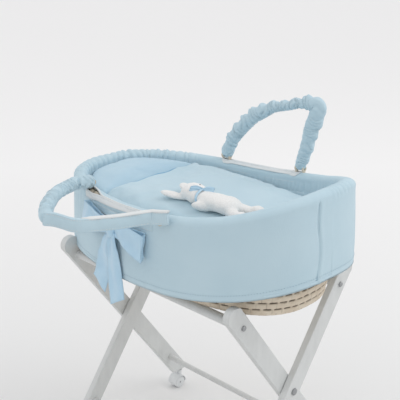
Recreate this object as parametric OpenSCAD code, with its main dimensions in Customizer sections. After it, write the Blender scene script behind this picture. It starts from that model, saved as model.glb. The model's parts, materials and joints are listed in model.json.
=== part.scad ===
// Moses basket in a fabric dressing, resting on a folding scissor stand with casters.
// Millimetres. +X runs to the foot end of the basket, +Z up, floor at Z = 0.

/* [Stand] */
// Thickness of each leg board, along X
board_t = 19; // [16:1:24]
// Width of each leg board
board_w = 50; // [44:1:60]
// Angle of the open legs above the floor, in degrees
leg_angle = 54.1; // [50:0.1:58]
// Height of the scissor pivot above the floor
pivot_z = 344.5; // [330:0.5:360]
// Distance along a leg from the pivot to a rail's axis
rail_arm = 291; // [280:1:300]
// Distance along a leg from the pivot to the centre of its rounded top
top_arm = 332; // [326:1:345]
// Distance along a leg from the pivot to a lower dowel's axis
dowel_arm = 272; // [250:1:280]
// Height of the foot's cut face above the floor
foot_z = 58; // [56:1:64]
// Distance between the two legs of one frame, centre to centre
frame_w = 593; // [500:1:640]
// Gap between two crossing boards, filled by a washer
board_gap = 1; // [0.8:0.1:2]
// Diameter of the two upper rails
rail_d = 24.5; // [20:0.5:28]
// Diameter of the two lower dowels
dowel_d = 15.5; // [12:0.5:18]
// Angle through which the stand folds shut, in degrees
fold_angle = 58; // [40:1:60]

/* [Hardware] */
// Diameter of the pivot bolt's shank
bolt_d = 8; // [6:1:10]
// Diameter of the open-stop pin
stop_d = 6; // [5:0.5:7]
// Distance from the pivot to the open-stop pin
stop_arm = 17; // [16.5:0.25:18]
// Depth of the stop pin's groove in the board
groove_depth = 7; // [5:0.5:9]
// Diameter of a rail screw's shank
screw_d = 5; // [4:0.5:6]
// Length of a rail screw's shank
screw_l = 50; // [40:1:60]

/* [Casters] */
// Diameter of a caster wheel
wheel_d = 38; // [34:1:40]
// Width of one wheel of the pair
wheel_w = 12; // [9:0.5:14]
// Distance from the swivel axis to the wheel axle
trail = 10; // [6:0.5:12]
// Diameter of the axle
axle_d = 6; // [5:0.5:7]
// Diameter of the stem where it enters the leg
stem_d = 8; // [7:0.5:9]
// Length of the stem inside the leg
stem_l = 32; // [24:1:36]

/* [Basket] */
// Half length of the woven base
base_a = 352; // [330:1:364]
// Half width of the woven base
base_b = 181; // [165:1:190]
// Half length to the middle of the rim roll
rim_a = 386; // [372:1:396]
// Half width to the middle of the rim roll
rim_b = 220; // [208:1:228]
// Half length of the skirt at its hem
hem_a = 410; // [404:1:420]
// Half width of the skirt at its hem
hem_b = 243; // [238:1:252]
// Squareness of the oval: 2 is an ellipse, more is boxier
oval_n = 2.45; // [2.2:0.05:2.8]
// How much wider the foot end is than the head end, as a share of the width
egg = 0.08; // [0:0.01:0.1]
// Height of the rim's crest at the head end and sides
rim_low_z = 801; // [790:1:815]
// How far the foot end of the rim rises above the sides
rim_rise = 97; // [70:1:100]
// Height of the skirt's hem at the head end and sides
hem_low_z = 610; // [606:1:625]
// How far the hem rises at the foot end
hem_rise = 76; // [50:1:80]
// Thickness of the woven base
base_t = 7.4; // [5:0.2:10]
// Thickness of the woven wall
wall_t = 8; // [5:0.5:9]
// Radius of the woven border along the top of the wall
border_r = 11; // [9:0.5:11]
// Thickness of the padding over the border
roll_t = 3.6; // [3:0.1:5]
// Thickness of the padded liner
liner_t = 10; // [6:0.5:12]
// Thickness of the skirt cloth with its backing
skirt_t = 3; // [2:0.5:4]
// Thickness of the foam mattress
mattress_t = 50; // [35:1:60]

/* [Bedding] */
// Height of the coverlet's edge where it meets the liner
coverlet_edge_z = 778; // [765:1:780]
// How far the coverlet is crowned above its edge
coverlet_crown = 26; // [15:1:30]
// X of the coverlet's turned edge, measured from the stand's middle
coverlet_end_x = -186; // [-200:1:-140]
// Height of the pillow's crown above the floor
pillow_z = 797; // [785:1:800]

/* [Handles] */
// Radius of the woven handle core
core_r = 6; // [5:0.5:7]
// Outer radius of the gathered sleeve
sleeve_r = 17; // [14:0.5:18]
// Height of the near handle's flat strap
strap_h = 32; // [26:1:36]
// Thickness of the near handle's flat strap
strap_t = 13; // [12.5:0.5:15]
// Height of the hinge line above the rim's crest
hinge_rise = 14; // [12:0.5:16]

/* [Hidden] */
$fn = 48;

gap = 0.3;              // between soft pieces, and between a fixed and a moving piece
run = 0.06;             // radial clearance of a running fit
fit = 0.03;             // radial clearance of a fixed pin in its hole
fine = 0.1;             // side play of a washer
paint = "whitesmoke";
cloth = [0.72, 0.83, 0.89];
satin = [0.66, 0.80, 0.90];
cane = [0.80, 0.72, 0.60];

// X of each board's middle: the outer and inner board of each pair
pair_step = board_t + board_gap;
outer_x = (frame_w + pair_step) / 2;
inner_x = (frame_w - pair_step) / 2;
a_head_x = -outer_x;
a_foot_x = inner_x;
b_head_x = -inner_x;
b_foot_x = outer_x;
foot_arm = (pivot_z - foot_z) / sin(leg_angle);

// A point on a leg: arm along it from the pivot, side +1 for a top at +Y, -1 for a top at -Y
function leg_pt(arm, side) = [side * arm * cos(leg_angle), pivot_z + arm * sin(leg_angle)];

rail_top = pivot_z + rail_arm * sin(leg_angle) + rail_d / 2;
base_z = rail_top + gap;
shelf_z = base_z + base_t + gap;
bed_z = shelf_z + mattress_t + gap;

stations = 72;
rise_power = 4.1;
hem_power = 3.3;
roll_r = border_r + gap + roll_t;

function spow(v, p) = sign(v) * pow(abs(v), p);
function oval(a, b, t) =
    let (x = a * spow(cos(t), 2 / oval_n))
    [x, b * spow(sin(t), 2 / oval_n) * (1 + egg * x / a)];
function rim_z(u) = rim_low_z + rim_rise * pow((1 + u) / 2, rise_power);
function hem_z(u) = hem_low_z + hem_rise * pow((1 + u) / 2, hem_power);
function station(i) = 360 * i / stations;
function along(t) = spow(cos(t), 2 / oval_n);

// A closed ring: profile points are [a, b, z] functions of the station
module ring(profile) {
    n = len(profile(0));
    pts = [for (i = [0:stations - 1]) each profile(station(i))];
    faces = [for (i = [0:stations - 1]) let (k = (i + 1) % stations)
        for (j = [0:n - 1]) let (m = (j + 1) % n)
            each [[i * n + j, k * n + j, k * n + m], [i * n + j, k * n + m, i * n + m]]];
    polyhedron(points = pts, faces = faces, convexity = 10);
}

// A stack of ovals with a flat cap at each end
module stack(levels) {
    n = stations;
    pts = [for (v = levels) for (i = [0:n - 1]) v(station(i))];
    top = (len(levels) - 1) * n;
    sides = [for (v = [0:len(levels) - 2]) for (i = [0:n - 1]) let (k = (i + 1) % n)
        each [[v * n + i, v * n + k, (v + 1) * n + k], [v * n + i, (v + 1) * n + k, (v + 1) * n + i]]];
    floor_cap = [for (i = [1:n - 2]) [0, i + 1, i]];
    top_cap = [for (i = [1:n - 2]) [top, top + i, top + i + 1]];
    polyhedron(points = pts, faces = concat(sides, floor_cap, top_cap), convexity = 10);
}

function at(a, b, t, z) = let (p = oval(a, b, t)) [p.x, p.y, z];
function roll_z(t) = rim_z(along(t)) - roll_r;
function mix(p, q, k) = p + (q - p) * k;

// ---- stand ----
module to_yz() {
    rotate([90, 0, 90]) children();
}

module board_outline(side) {
    intersection() {
        translate([0, pivot_z]) rotate(side > 0 ? leg_angle : 180 - leg_angle) union() {
            translate([-foot_arm - board_w, -board_w / 2]) square([foot_arm + board_w + top_arm, board_w]);
            translate([top_arm, 0]) circle(d = board_w, $fn = 96);
        }
        translate([-500, foot_z]) square([1000, 1000]);
    }
}

module hole_x(arm, side, d, x0, x1) {
    p = leg_pt(arm, side);
    translate([min(x0, x1), p.x, p.y]) rotate([0, 90, 0]) cylinder(d = d, h = abs(x1 - x0));
}

function foot_pt(side) = leg_pt(-foot_arm, side);

// inward is +1 where the frame lies toward +X of the board
module board(x, side, inward) {
    face_in = x + inward * board_t / 2;
    face_out = x - inward * board_t / 2;
    difference() {
        translate([x - board_t / 2, 0, 0]) to_yz() linear_extrude(board_t) board_outline(side);
        hole_x(rail_arm, side, screw_d + 2 * run, face_out - inward, face_in + inward);
        hole_x(-dowel_arm, side, dowel_d + 2 * fit, face_in + inward, face_in - inward * dowel_seat);
        translate([x, foot_pt(side).x, foot_z - 1]) cylinder(d = stem_d + 2 * fit, h = stem_l + 1 + gap);
    }
}

dowel_seat = 10;
insert_d = 12;
insert_l = 15;

// Blind seat for a threaded insert, from face toward deep
module insert_seat(face, dir) {
    hole_x(0, 1, insert_d + 2 * fit, face - dir, face + dir * (insert_l + gap));
}

stop_angle = 180 - leg_angle;   // the stop pin stands on the A board's own middle line

module stop_hole(face, dir) {
    translate([face - dir, stop_arm * cos(stop_angle), pivot_z + stop_arm * sin(stop_angle)])
        rotate([0, 90 * dir, 0]) cylinder(d = stop_d + 2 * fit, h = stop_seat + 1);
}

stop_seat = 12;
groove_w = stop_d + 0.6;
groove_play = 0.8;              // degrees of play between the pin and each end of the groove
groove_end = asin(stop_d / 2 / stop_arm) + groove_play;

// Curved groove that lets the stop pin travel while the stand folds
module stop_groove(face, dir) {
    depth = groove_depth + 1;
    x0 = dir > 0 ? face - 1 : face - groove_depth;
    translate([x0, 0, pivot_z]) to_yz() rotate([0, 0, stop_angle - fold_angle - groove_end])
        rotate_extrude(angle = fold_angle + 2 * groove_end, $fn = 96)
            translate([stop_arm - groove_w / 2, 0]) square([groove_w, depth]);
}

module leg_a_head() {
    color(paint) difference() {
        board(a_head_x, -1, 1);
        hole_x(0, -1, bolt_d + 2 * run, a_head_x - board_t, a_head_x + board_t);
        stop_hole(a_head_x + board_t / 2, -1);
    }
}
module leg_a_foot() {
    color(paint) difference() {
        board(a_foot_x, -1, -1);
        insert_seat(a_foot_x + board_t / 2, -1);
        stop_hole(a_foot_x + board_t / 2, -1);
    }
}
module leg_b_head() {
    color(paint) difference() {
        board(b_head_x, 1, 1);
        insert_seat(b_head_x - board_t / 2, 1);
        stop_groove(b_head_x - board_t / 2, 1);
    }
}
module leg_b_foot() {
    color(paint) difference() {
        board(b_foot_x, 1, -1);
        hole_x(0, 1, bolt_d + 2 * run, b_foot_x - board_t, b_foot_x + board_t);
        stop_groove(b_foot_x - board_t / 2, 1);
    }
}

// A round bar between the inner faces of one frame's boards
module bar(arm, side, x_head, x_foot, d, seat) {
    p = leg_pt(arm, side);
    x0 = x_head + board_t / 2 - seat;
    x1 = x_foot - board_t / 2 + seat;
    translate([x0, p.x, p.y]) rotate([0, 90, 0]) cylinder(d = d, h = x1 - x0, $fn = 64);
}
module rail(side, x_head, x_foot) {
    pilot = screw_l - board_t + 1;
    color(paint) difference() {
        bar(rail_arm, side, x_head, x_foot, rail_d, -fine / 2);
        hole_x(rail_arm, side, screw_d + 2 * fit, x_head, x_head + board_t / 2 + pilot);
        hole_x(rail_arm, side, screw_d + 2 * fit, x_foot, x_foot - board_t / 2 - pilot);
    }
}
module rail_a() rail(-1, a_head_x, a_foot_x);
module rail_b() rail(1, b_head_x, b_foot_x);
module dowel_a() color(paint) bar(-dowel_arm, -1, a_head_x, a_foot_x, dowel_d, dowel_seat - fine);
module dowel_b() color(paint) bar(-dowel_arm, 1, b_head_x, b_foot_x, dowel_d, dowel_seat - fine);

head_h = 3.5;

// Turned head and shank; dir is the way the shank points along X
module screw(x, dir, arm, side, d, l, head_d) {
    p = leg_pt(arm, side);
    translate([x, p.x, p.y]) rotate([0, 90 * dir, 0]) {
        cylinder(d = d, h = l);
        translate([0, 0, -head_h]) cylinder(d = head_d, h = head_h);
        translate([0, 0, -head_h - 1.5]) cylinder(d1 = head_d * 0.7, d2 = head_d, h = 1.5);
    }
}
module rail_screws(side, x_head, x_foot) {
    color("gainsboro") {
        screw(x_head - board_t / 2, 1, rail_arm, side, screw_d, screw_l, 13);
        screw(x_foot + board_t / 2, -1, rail_arm, side, screw_d, screw_l, 13);
    }
}
module rail_screws_a() rail_screws(-1, a_head_x, a_foot_x);
module rail_screws_b() rail_screws(1, b_head_x, b_foot_x);

bolt_l = board_t + board_gap + insert_l - 2;
module pivot_bolt_head() color("gainsboro") screw(a_head_x - board_t / 2, 1, 0, 1, bolt_d, bolt_l, 18);
module pivot_bolt_foot() color("gainsboro") screw(b_foot_x + board_t / 2, -1, 0, 1, bolt_d, bolt_l, 18);

module insert(x0) {
    color("goldenrod") difference() {
        hole_x(0, 1, insert_d, x0, x0 + insert_l);
        hole_x(0, 1, bolt_d + 2 * fit, x0 - 1, x0 + insert_l + 1);
    }
}
module pivot_insert_head() insert(b_head_x - board_t / 2);
module pivot_insert_foot() insert(a_foot_x + board_t / 2 - insert_l);

module washer(x_mid) {
    t = board_gap - 2 * fine;
    difference() {
        hole_x(0, 1, 20, x_mid - t / 2, x_mid + t / 2);
        hole_x(0, 1, bolt_d + 2 * run, x_mid - t, x_mid + t);
    }
}
module pivot_washers() {
    color("silver") {
        washer((a_head_x + b_head_x) / 2);
        washer((a_foot_x + b_foot_x) / 2);
    }
}
module stop_pins() {
    color("silver") for (x = [a_head_x, a_foot_x]) {
        face = x + board_t / 2;
        translate([face - stop_seat + gap, stop_arm * cos(stop_angle), pivot_z + stop_arm * sin(stop_angle)])
            rotate([0, 90, 0]) cylinder(d = stop_d, h = stop_seat - gap + board_gap + groove_depth - 0.5);
    }
}

// ---- casters: 1 and 2 under the A legs, 3 and 4 under the B legs ----
caster_at = [
    [a_head_x, foot_pt(-1).x], [a_foot_x, foot_pt(-1).x],
    [b_head_x, foot_pt(1).x], [b_foot_x, foot_pt(1).x]
];
flange_t = 2;
boss_d = 16;
pin_d = 6;
web_t = 6;
hood_t = 2.5;
hood_gap = 1.2;
wheel_gap = 0.5;
axle_z = wheel_d / 2;
hood_r = axle_z + hood_gap + hood_t;
boss_top = foot_z - flange_t - gap;
pin_l = 12;
boss_z = wheel_d + wheel_gap;
hood_w = web_t + 2 * (wheel_w + wheel_gap) + 2;

module at_caster(i) translate([caster_at[i - 1].x, caster_at[i - 1].y, 0]) children();
module across(w, d, z = axle_z, y = -trail) {
    translate([-w / 2, y, z]) rotate([0, 90, 0]) cylinder(d = d, h = w);
}
module caster_stem(i) {
    color("silver") at_caster(i) {
        translate([0, 0, foot_z - flange_t]) cylinder(d = 18, h = flange_t);
        translate([0, 0, foot_z]) cylinder(d = stem_d, h = stem_l);
        translate([0, 0, foot_z - flange_t - pin_l]) cylinder(d = pin_d, h = pin_l);
    }
}
module caster_hood(i) {
    color(paint) at_caster(i) difference() {
        union() {
            difference() {
                across(hood_w, 2 * hood_r);
                across(hood_w + 2, 2 * (hood_r - hood_t));
                translate([-hood_w, -trail - 2 * hood_r, axle_z - 2 * hood_r - 3])
                    cube([2 * hood_w, 4 * hood_r, 2 * hood_r]);
            }
            across(web_t, 2 * hood_r - hood_t - wheel_gap - 2);
            translate([-web_t / 2, -trail, axle_z]) cube([web_t, trail + boss_d / 2 - 3, hood_r - hood_t / 2]);
            translate([0, 0, boss_z]) cylinder(d = boss_d, h = boss_top - boss_z);
        }
        across(web_t + 2, axle_d + 2 * fit);
        translate([0, 0, boss_top - pin_l - gap]) cylinder(d = pin_d + 2 * run, h = pin_l + 2);
    }
}
module caster_axle(i) color("silver") at_caster(i) across(hood_w - 2, axle_d);
module caster_wheels(i) {
    color(paint) at_caster(i) for (s = [-1, 1]) difference() {
        translate([s * (web_t / 2 + wheel_gap + wheel_w / 2), 0, 0]) union() {
            across(wheel_w - 3, wheel_d);
            across(wheel_w, wheel_d - 3);
        }
        across(2 * hood_w, axle_d + 2 * run);
    }
}

// ---- basket ----
module woven_base() {
    color(cane) stack([
        function(t) at(base_a - 7, base_b - 7, t, base_z),
        function(t) at(base_a - 2, base_b - 2, t, base_z + 2),
        function(t) at(base_a, base_b, t, base_z + base_t)
    ]);
}

// A point of the wall's outer face: k is 0 at the base and 1 under the border, inset is inward
function wall_pt(t, k, inset, z0 = shelf_z, top_drop = border_r + gap) =
    at(mix(base_a, rim_a + wall_t / 2, k) - inset, mix(base_b, rim_b + wall_t / 2, k) - inset, t,
       mix(z0, roll_z(t) - top_drop, k));
module woven_wall() {
    color(cane) ring(function(t) [
        wall_pt(t, 0, 0), wall_pt(t, 0.5, -2), wall_pt(t, 1, 0),
        wall_pt(t, 1, wall_t), wall_pt(t, 0.5, wall_t - 2), wall_pt(t, 0, wall_t)
    ]);
}
function arc_pt(t, r, a) = at(rim_a + r * cos(a), rim_b + r * cos(a), t, roll_z(t) + r * sin(a));
module woven_border() {
    color(cane) ring(function(t) [for (a = [330:-30:0]) arc_pt(t, border_r, -a)]);
}
roll_from = -48;
roll_to = 228;
module rim_roll() {
    color(cloth) ring(function(t) concat(
        [for (k = [0:10]) arc_pt(t, roll_r, mix(roll_from, roll_to, k / 10))],
        [for (k = [10:-1:0]) arc_pt(t, border_r + gap, mix(roll_from, roll_to, k / 10))]
    ));
}
liner_drop = roll_r + 1;
liner_in = wall_t + gap;
module liner() {
    color(cloth) ring(function(t) [
        wall_pt(t, 0, liner_in), wall_pt(t, 0.5, liner_in - 1.4), wall_pt(t, 1, liner_in + 2, shelf_z, liner_drop),
        wall_pt(t, 1, liner_in + liner_t, shelf_z, liner_drop),
        wall_pt(t, 0.5, liner_in + liner_t), wall_pt(t, 0, liner_in + liner_t)
    ]);
}
bed_in = liner_in + liner_t + gap;
module mattress() {
    a = base_a - bed_in;
    b = base_b - bed_in;
    color("white") stack([
        function(t) at(a - 3, b - 3, t, shelf_z),
        function(t) at(a, b, t, shelf_z + 4),
        function(t) at(a, b, t, shelf_z + mattress_t - 4),
        function(t) at(a - 3, b - 3, t, shelf_z + mattress_t)
    ]);
}

// The skirt hangs from the roll; k is 0 at the hem and 1 at its top
relief_z = pivot_z + top_arm * sin(leg_angle) + board_w / 2 + 4;
function skirt_hem(t) = hem_z(along(t));
function skirt_pt(t, k, inset) =
    at(mix(hem_a, rim_a + roll_r + gap + skirt_t, k) - inset, mix(hem_b, rim_b + roll_r + gap + skirt_t, k) - inset,
       t, mix(skirt_hem(t), roll_z(t), k));
// Boxes round the tops of the head-end legs, where the cloth is pushed aside
module leg_relief() {
    y_leg = top_arm * cos(leg_angle) - board_w / 2;
    for (leg = [[a_head_x, -1, 6], [b_head_x, 1, 30]])
        translate([leg.x - board_t / 2 - 3, leg.y > 0 ? y_leg - leg.z : -y_leg - 120 + leg.z, foot_z])
            cube([board_t + 6, 120, relief_z - foot_z]);
}
module skirt() {
    color(cloth) difference() {
        ring(function(t) [
            skirt_pt(t, 0, 0), skirt_pt(t, 0.5, -1), skirt_pt(t, 1, 0),
            skirt_pt(t, 1, skirt_t), skirt_pt(t, 0.5, skirt_t - 1), skirt_pt(t, 0, skirt_t)
        ]);
        leg_relief();
    }
}

// Bedding fills the oval on one side of the coverlet's edge, level by level, and is crowned
function lean(t, z) = (z - shelf_z) / (roll_z(t) - border_r - gap - shelf_z);
function reach_a(t, z) = mix(base_a, rim_a + wall_t / 2, lean(t, z)) - bed_in;
function reach_b(t, z) = mix(base_b, rim_b + wall_t / 2, lean(t, z)) - bed_in;
// A point of the liner's inside at height z that keeps to one side of x0, shrunk by k about [cx, 0]
function part_pt(z, slack, t, x0, keep, cx, k, up) =
    let (turn = acos(spow(x0 / (reach_a(180, z) - slack), oval_n / 2)), f = t / 360 * stations / (stations - 1),
         w = keep > 0 ? mix(-turn, turn, f) : mix(turn, 360 - turn, f),
         p = oval(reach_a(w, z) - slack, reach_b(w, z) - slack, w))
    [cx + (p.x - cx) * k, p.y * k, z + up];
module bedding(x0, keep, cx, edge_z, crown) {
    stack([for (v = [
        [bed_z, 1, 1, 0], [edge_z - 14, 5, 1, 0], [edge_z, 8, 0.995, 0],
        [edge_z, 3, 0.8, crown * 0.5], [edge_z, 3, 0.5, crown * 0.87], [edge_z, 3, 0.2, crown]
    ]) function(t) part_pt(v[0], v[1], t, x0, keep, cx, v[2], v[3])]);
}
module coverlet() color(cloth) bedding(coverlet_end_x + gap, 1, 90, coverlet_edge_z, coverlet_crown);
module pillow() color(cloth)
    bedding(coverlet_end_x - gap, -1, -260, coverlet_edge_z - 4, pillow_z - coverlet_edge_z + 4);

// ---- handles ----
function crest_pt(x, side, out, up) =
    let (u = x / rim_a, y = rim_b * pow(1 - pow(abs(u), oval_n), 1 / oval_n) * (1 + egg * u))
    [x, side * (y + out), rim_z(u) + up];
side_out = roll_r + 12;
near_from = crest_pt(-212, -1, 0, hinge_rise);
near_to = crest_pt(98, -1, side_out, -6);
far_from = crest_pt(-112, 1, 0, hinge_rise);
far_to = crest_pt(139, 1, 0, hinge_rise);
near_tilt = 4;                  // degrees that the near loop rises above level at rest

// Route of each loop: along the hinge line, then away from it
near_route = [[0, 0], [-4, 30], [9, 75], [46, 128], [92, 172], [140, 200], [193, 213],
              [240, 192], [264, 148], [275, 102], [288, 54], [308, 24], [313, 11], [313.5, 0]];
far_route = [[0, 0], [1.5, 12], [9, 33], [25, 58], [52, 84], [95, 119], [140, 147], [183, 164], [221, 172],
             [268, 177], [309, 178], [322, 158], [311, 120], [297, 86], [275, 40], [253.3, 12], [251.8, 0]];
function unit(v) = v / norm(v);
function lift_dir(s, h) = unit(h - s * (h * s));
near_s = unit(near_to - near_from);
far_s = unit(far_to - far_from);
near_h = lift_dir(near_s, [0, -cos(near_tilt), sin(near_tilt)]);
far_h = lift_dir(far_s, [0, 0, 1]);
function place(route, o, s, h) = [for (p = route) o + s * p[0] + h * p[1]];
near_pts = place(near_route, near_from, near_s, near_h);
far_pts = place(far_route, far_from, far_s, far_h);

// A smooth curve through the points, with m steps between two of them
function curve_pt(p, i, f) =
    let (n = len(p) - 1, a = p[max(i - 1, 0)], b = p[i], c = p[min(i + 1, n)], d = p[min(i + 2, n)])
    0.5 * ((2 * b) + (c - a) * f + (2 * a - 5 * b + 4 * c - d) * f * f + (3 * b - a - 3 * c + d) * f * f * f);
function curve(p, m) = concat([for (i = [0:len(p) - 2]) for (j = [0:m - 1]) curve_pt(p, i, j / m)], [p[len(p) - 1]]);
function heading(q, i) = unit(q[min(i + 1, len(q) - 1)] - q[max(i - 1, 0)]);
// Rings of a section [across, up] swept along q; up is the fixed normal of the loop's plane
function swept(q, section, normal) = [for (i = [0:len(q) - 1])
    let (d = heading(q, i), side = unit(cross(d, normal)))
    [for (c = section(i / (len(q) - 1))) q[i] + side * c[0] + normal * c[1]]];
module solid_sweep(q, section, normal) {
    rings = swept(q, section, normal);
    n = len(rings[0]);
    m = len(rings);
    faces = concat(
        [for (i = [0:m - 2]) for (j = [0:n - 1]) let (k = (j + 1) % n)
            each [[i * n + j, i * n + k, (i + 1) * n + k], [i * n + j, (i + 1) * n + k, (i + 1) * n + j]]],
        [for (j = [1:n - 2]) [0, j + 1, j]],
        [for (j = [1:n - 2]) [(m - 1) * n, (m - 1) * n + j, (m - 1) * n + j + 1]]);
    polyhedron(points = [for (r = rings) each r], faces = faces, convexity = 10);
}
// A tube: the outer section round an inner one, open at both ends
module hollow_sweep(q, outer, inner, normal) {
    ro = swept(q, outer, normal);
    ri = swept(q, inner, normal);
    n = len(ro[0]);
    m = len(ro);
    w = m * n;
    faces = concat(
        [for (i = [0:m - 2]) for (j = [0:n - 1]) let (k = (j + 1) % n)
            each [[i * n + j, i * n + k, (i + 1) * n + k], [i * n + j, (i + 1) * n + k, (i + 1) * n + j],
                  [w + i * n + j, w + (i + 1) * n + k, w + i * n + k],
                  [w + i * n + j, w + (i + 1) * n + j, w + (i + 1) * n + k]]],
        [for (j = [0:n - 1]) let (k = (j + 1) % n)
            each [[j, w + k, k], [j, w + j, w + k]]],
        [for (e = [(m - 1) * n], j = [0:n - 1]) let (k = (j + 1) % n)
            each [[e + j, e + k, w + e + k], [e + j, w + e + k, w + e + j]]]);
    polyhedron(points = concat([for (r = ro) each r], [for (r = ri) each r]), faces = faces, convexity = 10);
}
function round_section(r, n = 12) = [for (j = [0:n - 1]) [r * cos(360 * j / n), r * sin(360 * j / n)]];
near_q = curve(near_pts, 3);
far_q = curve(far_pts, 3);
near_n = cross(near_s, near_h);
far_n = cross(far_s, far_h);
function part_of(q, from, to) = [for (i = [from:to]) q[i]];
near_last = len(near_q) - 1;
far_last = len(far_q) - 1;
near_corner = 20;               // where the near sleeve ends and its strap begins

near_plain = 2;                 // the core's plain ends, in steps of the curve
far_plain = 4;
knuckle_r = 5;
knuckle_l = 30;
module knuckle(p, s) {
    translate(p) rotate([0, acos(s.z), atan2(s.y, s.x)])
        translate([0, 0, -knuckle_l / 2]) cylinder(r = knuckle_r, h = knuckle_l);
}
module core(q, normal, s) {
    solid_sweep(q, function(f) round_section(core_r, 10), normal);
    for (p = [q[0], q[len(q) - 1]]) knuckle(p, s);
}
module near_handle_core() color(cane) core(near_q, near_n, near_s);
module far_handle_core() color(cane) core(far_q, far_n, far_s);
module sleeve(q, normal) {
    hollow_sweep(q, function(f) round_section(sleeve_r), function(f) round_section(core_r + gap), normal);
}
module near_handle_sleeve() color(cloth) sleeve(part_of(near_q, near_plain, near_corner), near_n);
module far_handle_sleeve() color(cloth) sleeve(part_of(far_q, far_plain, far_last - far_plain), far_n);
function strap_section(h) = let (t = strap_t / 2, e = 3)
    [[t, -h / 2 + e], [t, 0], [t, h / 2 - e], [t - e, h / 2], [0, h / 2], [e - t, h / 2],
     [-t, h / 2 - e], [-t, 0], [-t, e - h / 2], [e - t, -h / 2], [0, -h / 2], [t - e, -h / 2]];
module near_handle_strap() {
    q = part_of(near_q, near_corner + 1, near_last - far_plain);
    color(cloth) hollow_sweep(q, function(f) strap_section(strap_h),
        function(f) round_section(core_r + gap, 12), near_n);
}

// Rope loops that carry the handles' knuckles, each on a foot that rests on the rim roll
loop_r = 7.6;
loop_w = 5;
foot_from = knuckle_r + 0.9;
foot_l = hinge_rise - foot_from - 2.6;
module loops(points, feet, s) {
    for (i = [0, 1]) for (k = [-1, 1]) translate(points[i] + s * k * (core_r + loop_w / 2 + 2.8)) {
        rotate([0, acos(s.z), atan2(s.y, s.x)]) difference() {
            translate([0, 0, -loop_w / 2]) cylinder(r = loop_r, h = loop_w);
            cylinder(r = knuckle_r + run, h = loop_w + 2, center = true);
        }
        rotate(feet[i]) translate([-loop_w / 2 + 0.3, -4, foot_from]) cube([loop_w - 0.6, 8, foot_l]);
    }
}
module near_handle_loops() color(cane) loops([near_from, near_to], [[180, 0, 0], [-90, 0, 0]], near_s);
module far_handle_loops() color(cane) loops([far_from, far_to], [[180, 0, 0], [180, 0, 0]], far_s);

// Thin facings sewn along the handle slots
module facing(side, x0, x1, out) {
    n = 10;
    t = 2;
    h = 20;
    q = [for (i = [0:n]) crest_pt(mix(x0, x1, i / n), side, out, -roll_r * 1.1 - h / 2)];
    solid_sweep(q, function(f) [[t / 2, -h / 2], [t / 2, h / 2], [-t / 2, h / 2], [-t / 2, -h / 2]], [0, 0, 1]);
}
module near_slot_facing() color("white") facing(-1, -205, 70, roll_r + gap + skirt_t + 3);
module far_slot_facing() color("white") facing(1, -138, 138, -roll_r - 3);

// Ribbon bow on the near side of the skirt: knot, two loops and two tails
bow_x = -65;
bow_y = -(hem_b + 9);
bow_z = 742;
ribbon_t = 5;
tail_l = 195;
module ribbon_loop(reach, drop, size) {
    hull() {
        rotate([90, 0, 0]) cylinder(d = 14, h = ribbon_t, center = true, $fn = 24);
        translate([reach, 0, drop]) rotate([90, 0, 0]) cylinder(d = size, h = ribbon_t, center = true, $fn = 24);
    }
}
module bow() {
    color(satin) translate([bow_x, bow_y, bow_z]) {
        rotate([90, 0, 0]) cylinder(d = 30, h = ribbon_t + 4, center = true);
        ribbon_loop(-110, -15, 60);
        ribbon_loop(85, -12, 66);
        for (x = [-54, 4]) translate([x, -ribbon_t / 2, -tail_l]) cube([36, ribbon_t, tail_l]);
    }
}

// Plush rabbit lying on the coverlet, and the ribbon round its neck
rabbit_at = [105, -95, coverlet_edge_z + coverlet_crown + gap];
module rabbit() {
    color("white") translate(rabbit_at) {
        translate([40, 0, 18]) rotate([0, 90, 0]) cylinder(d = 36, h = 70, center = true, $fn = 32);
        translate([-41, 0, 18]) rotate([0, 90, 0]) cylinder(d = 34, h = 36, center = true, $fn = 32);
        translate([-10, 0, 18]) rotate([0, 90, 0]) cylinder(d = 20, h = 40, center = true, $fn = 24);
        for (s = [-1, 1]) {
            translate([-90, s * 14, 5]) rotate([0, 90, 0]) cylinder(d = 10, h = 70, center = true, $fn = 24);
            translate([105, s * 14, 7]) rotate([0, 90, s * 6]) cylinder(d = 14, h = 90, center = true, $fn = 24);
        }
    }
}
module rabbit_ribbon() {
    color(satin) translate(rabbit_at) translate([-12, 0, 18]) rotate([0, 90, 0]) difference() {
        cylinder(d = 26, h = 8, center = true);
        cylinder(d = 20 + 2 * gap, h = 10, center = true);
    }
}

// ---- the model's origin: on the floor, under the middle of its bounding box ----
hem_pts = [for (i = [0:stations - 1]) oval(hem_a, hem_b, station(i))];
y_high = max([for (p = hem_pts) p.y]);
y_low = min([for (p = near_q) p.y]) - sleeve_r;
module placed() translate([0, -(y_high + y_low) / 2, 0]) children();

placed() leg_a_head();
placed() leg_a_foot();
placed() leg_b_head();
placed() leg_b_foot();
placed() rail_a();
placed() rail_b();
placed() dowel_a();
placed() dowel_b();
placed() rail_screws_a();
placed() rail_screws_b();
placed() pivot_bolt_head();
placed() pivot_bolt_foot();
placed() pivot_insert_head();
placed() pivot_insert_foot();
placed() pivot_washers();
placed() stop_pins();
placed() caster_stem(1);  // caster_stem_1
placed() caster_stem(2);  // caster_stem_2
placed() caster_stem(3);  // caster_stem_3
placed() caster_stem(4);  // caster_stem_4
placed() caster_hood(1);  // caster_hood_1
placed() caster_hood(2);  // caster_hood_2
placed() caster_hood(3);  // caster_hood_3
placed() caster_hood(4);  // caster_hood_4
placed() caster_axle(1);  // caster_axle_1
placed() caster_axle(2);  // caster_axle_2
placed() caster_axle(3);  // caster_axle_3
placed() caster_axle(4);  // caster_axle_4
placed() caster_wheels(1);  // caster_wheels_1
placed() caster_wheels(2);  // caster_wheels_2
placed() caster_wheels(3);  // caster_wheels_3
placed() caster_wheels(4);  // caster_wheels_4
placed() woven_base();
placed() woven_wall();
placed() woven_border();
placed() mattress();
placed() liner();
placed() rim_roll();
placed() skirt();
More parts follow.
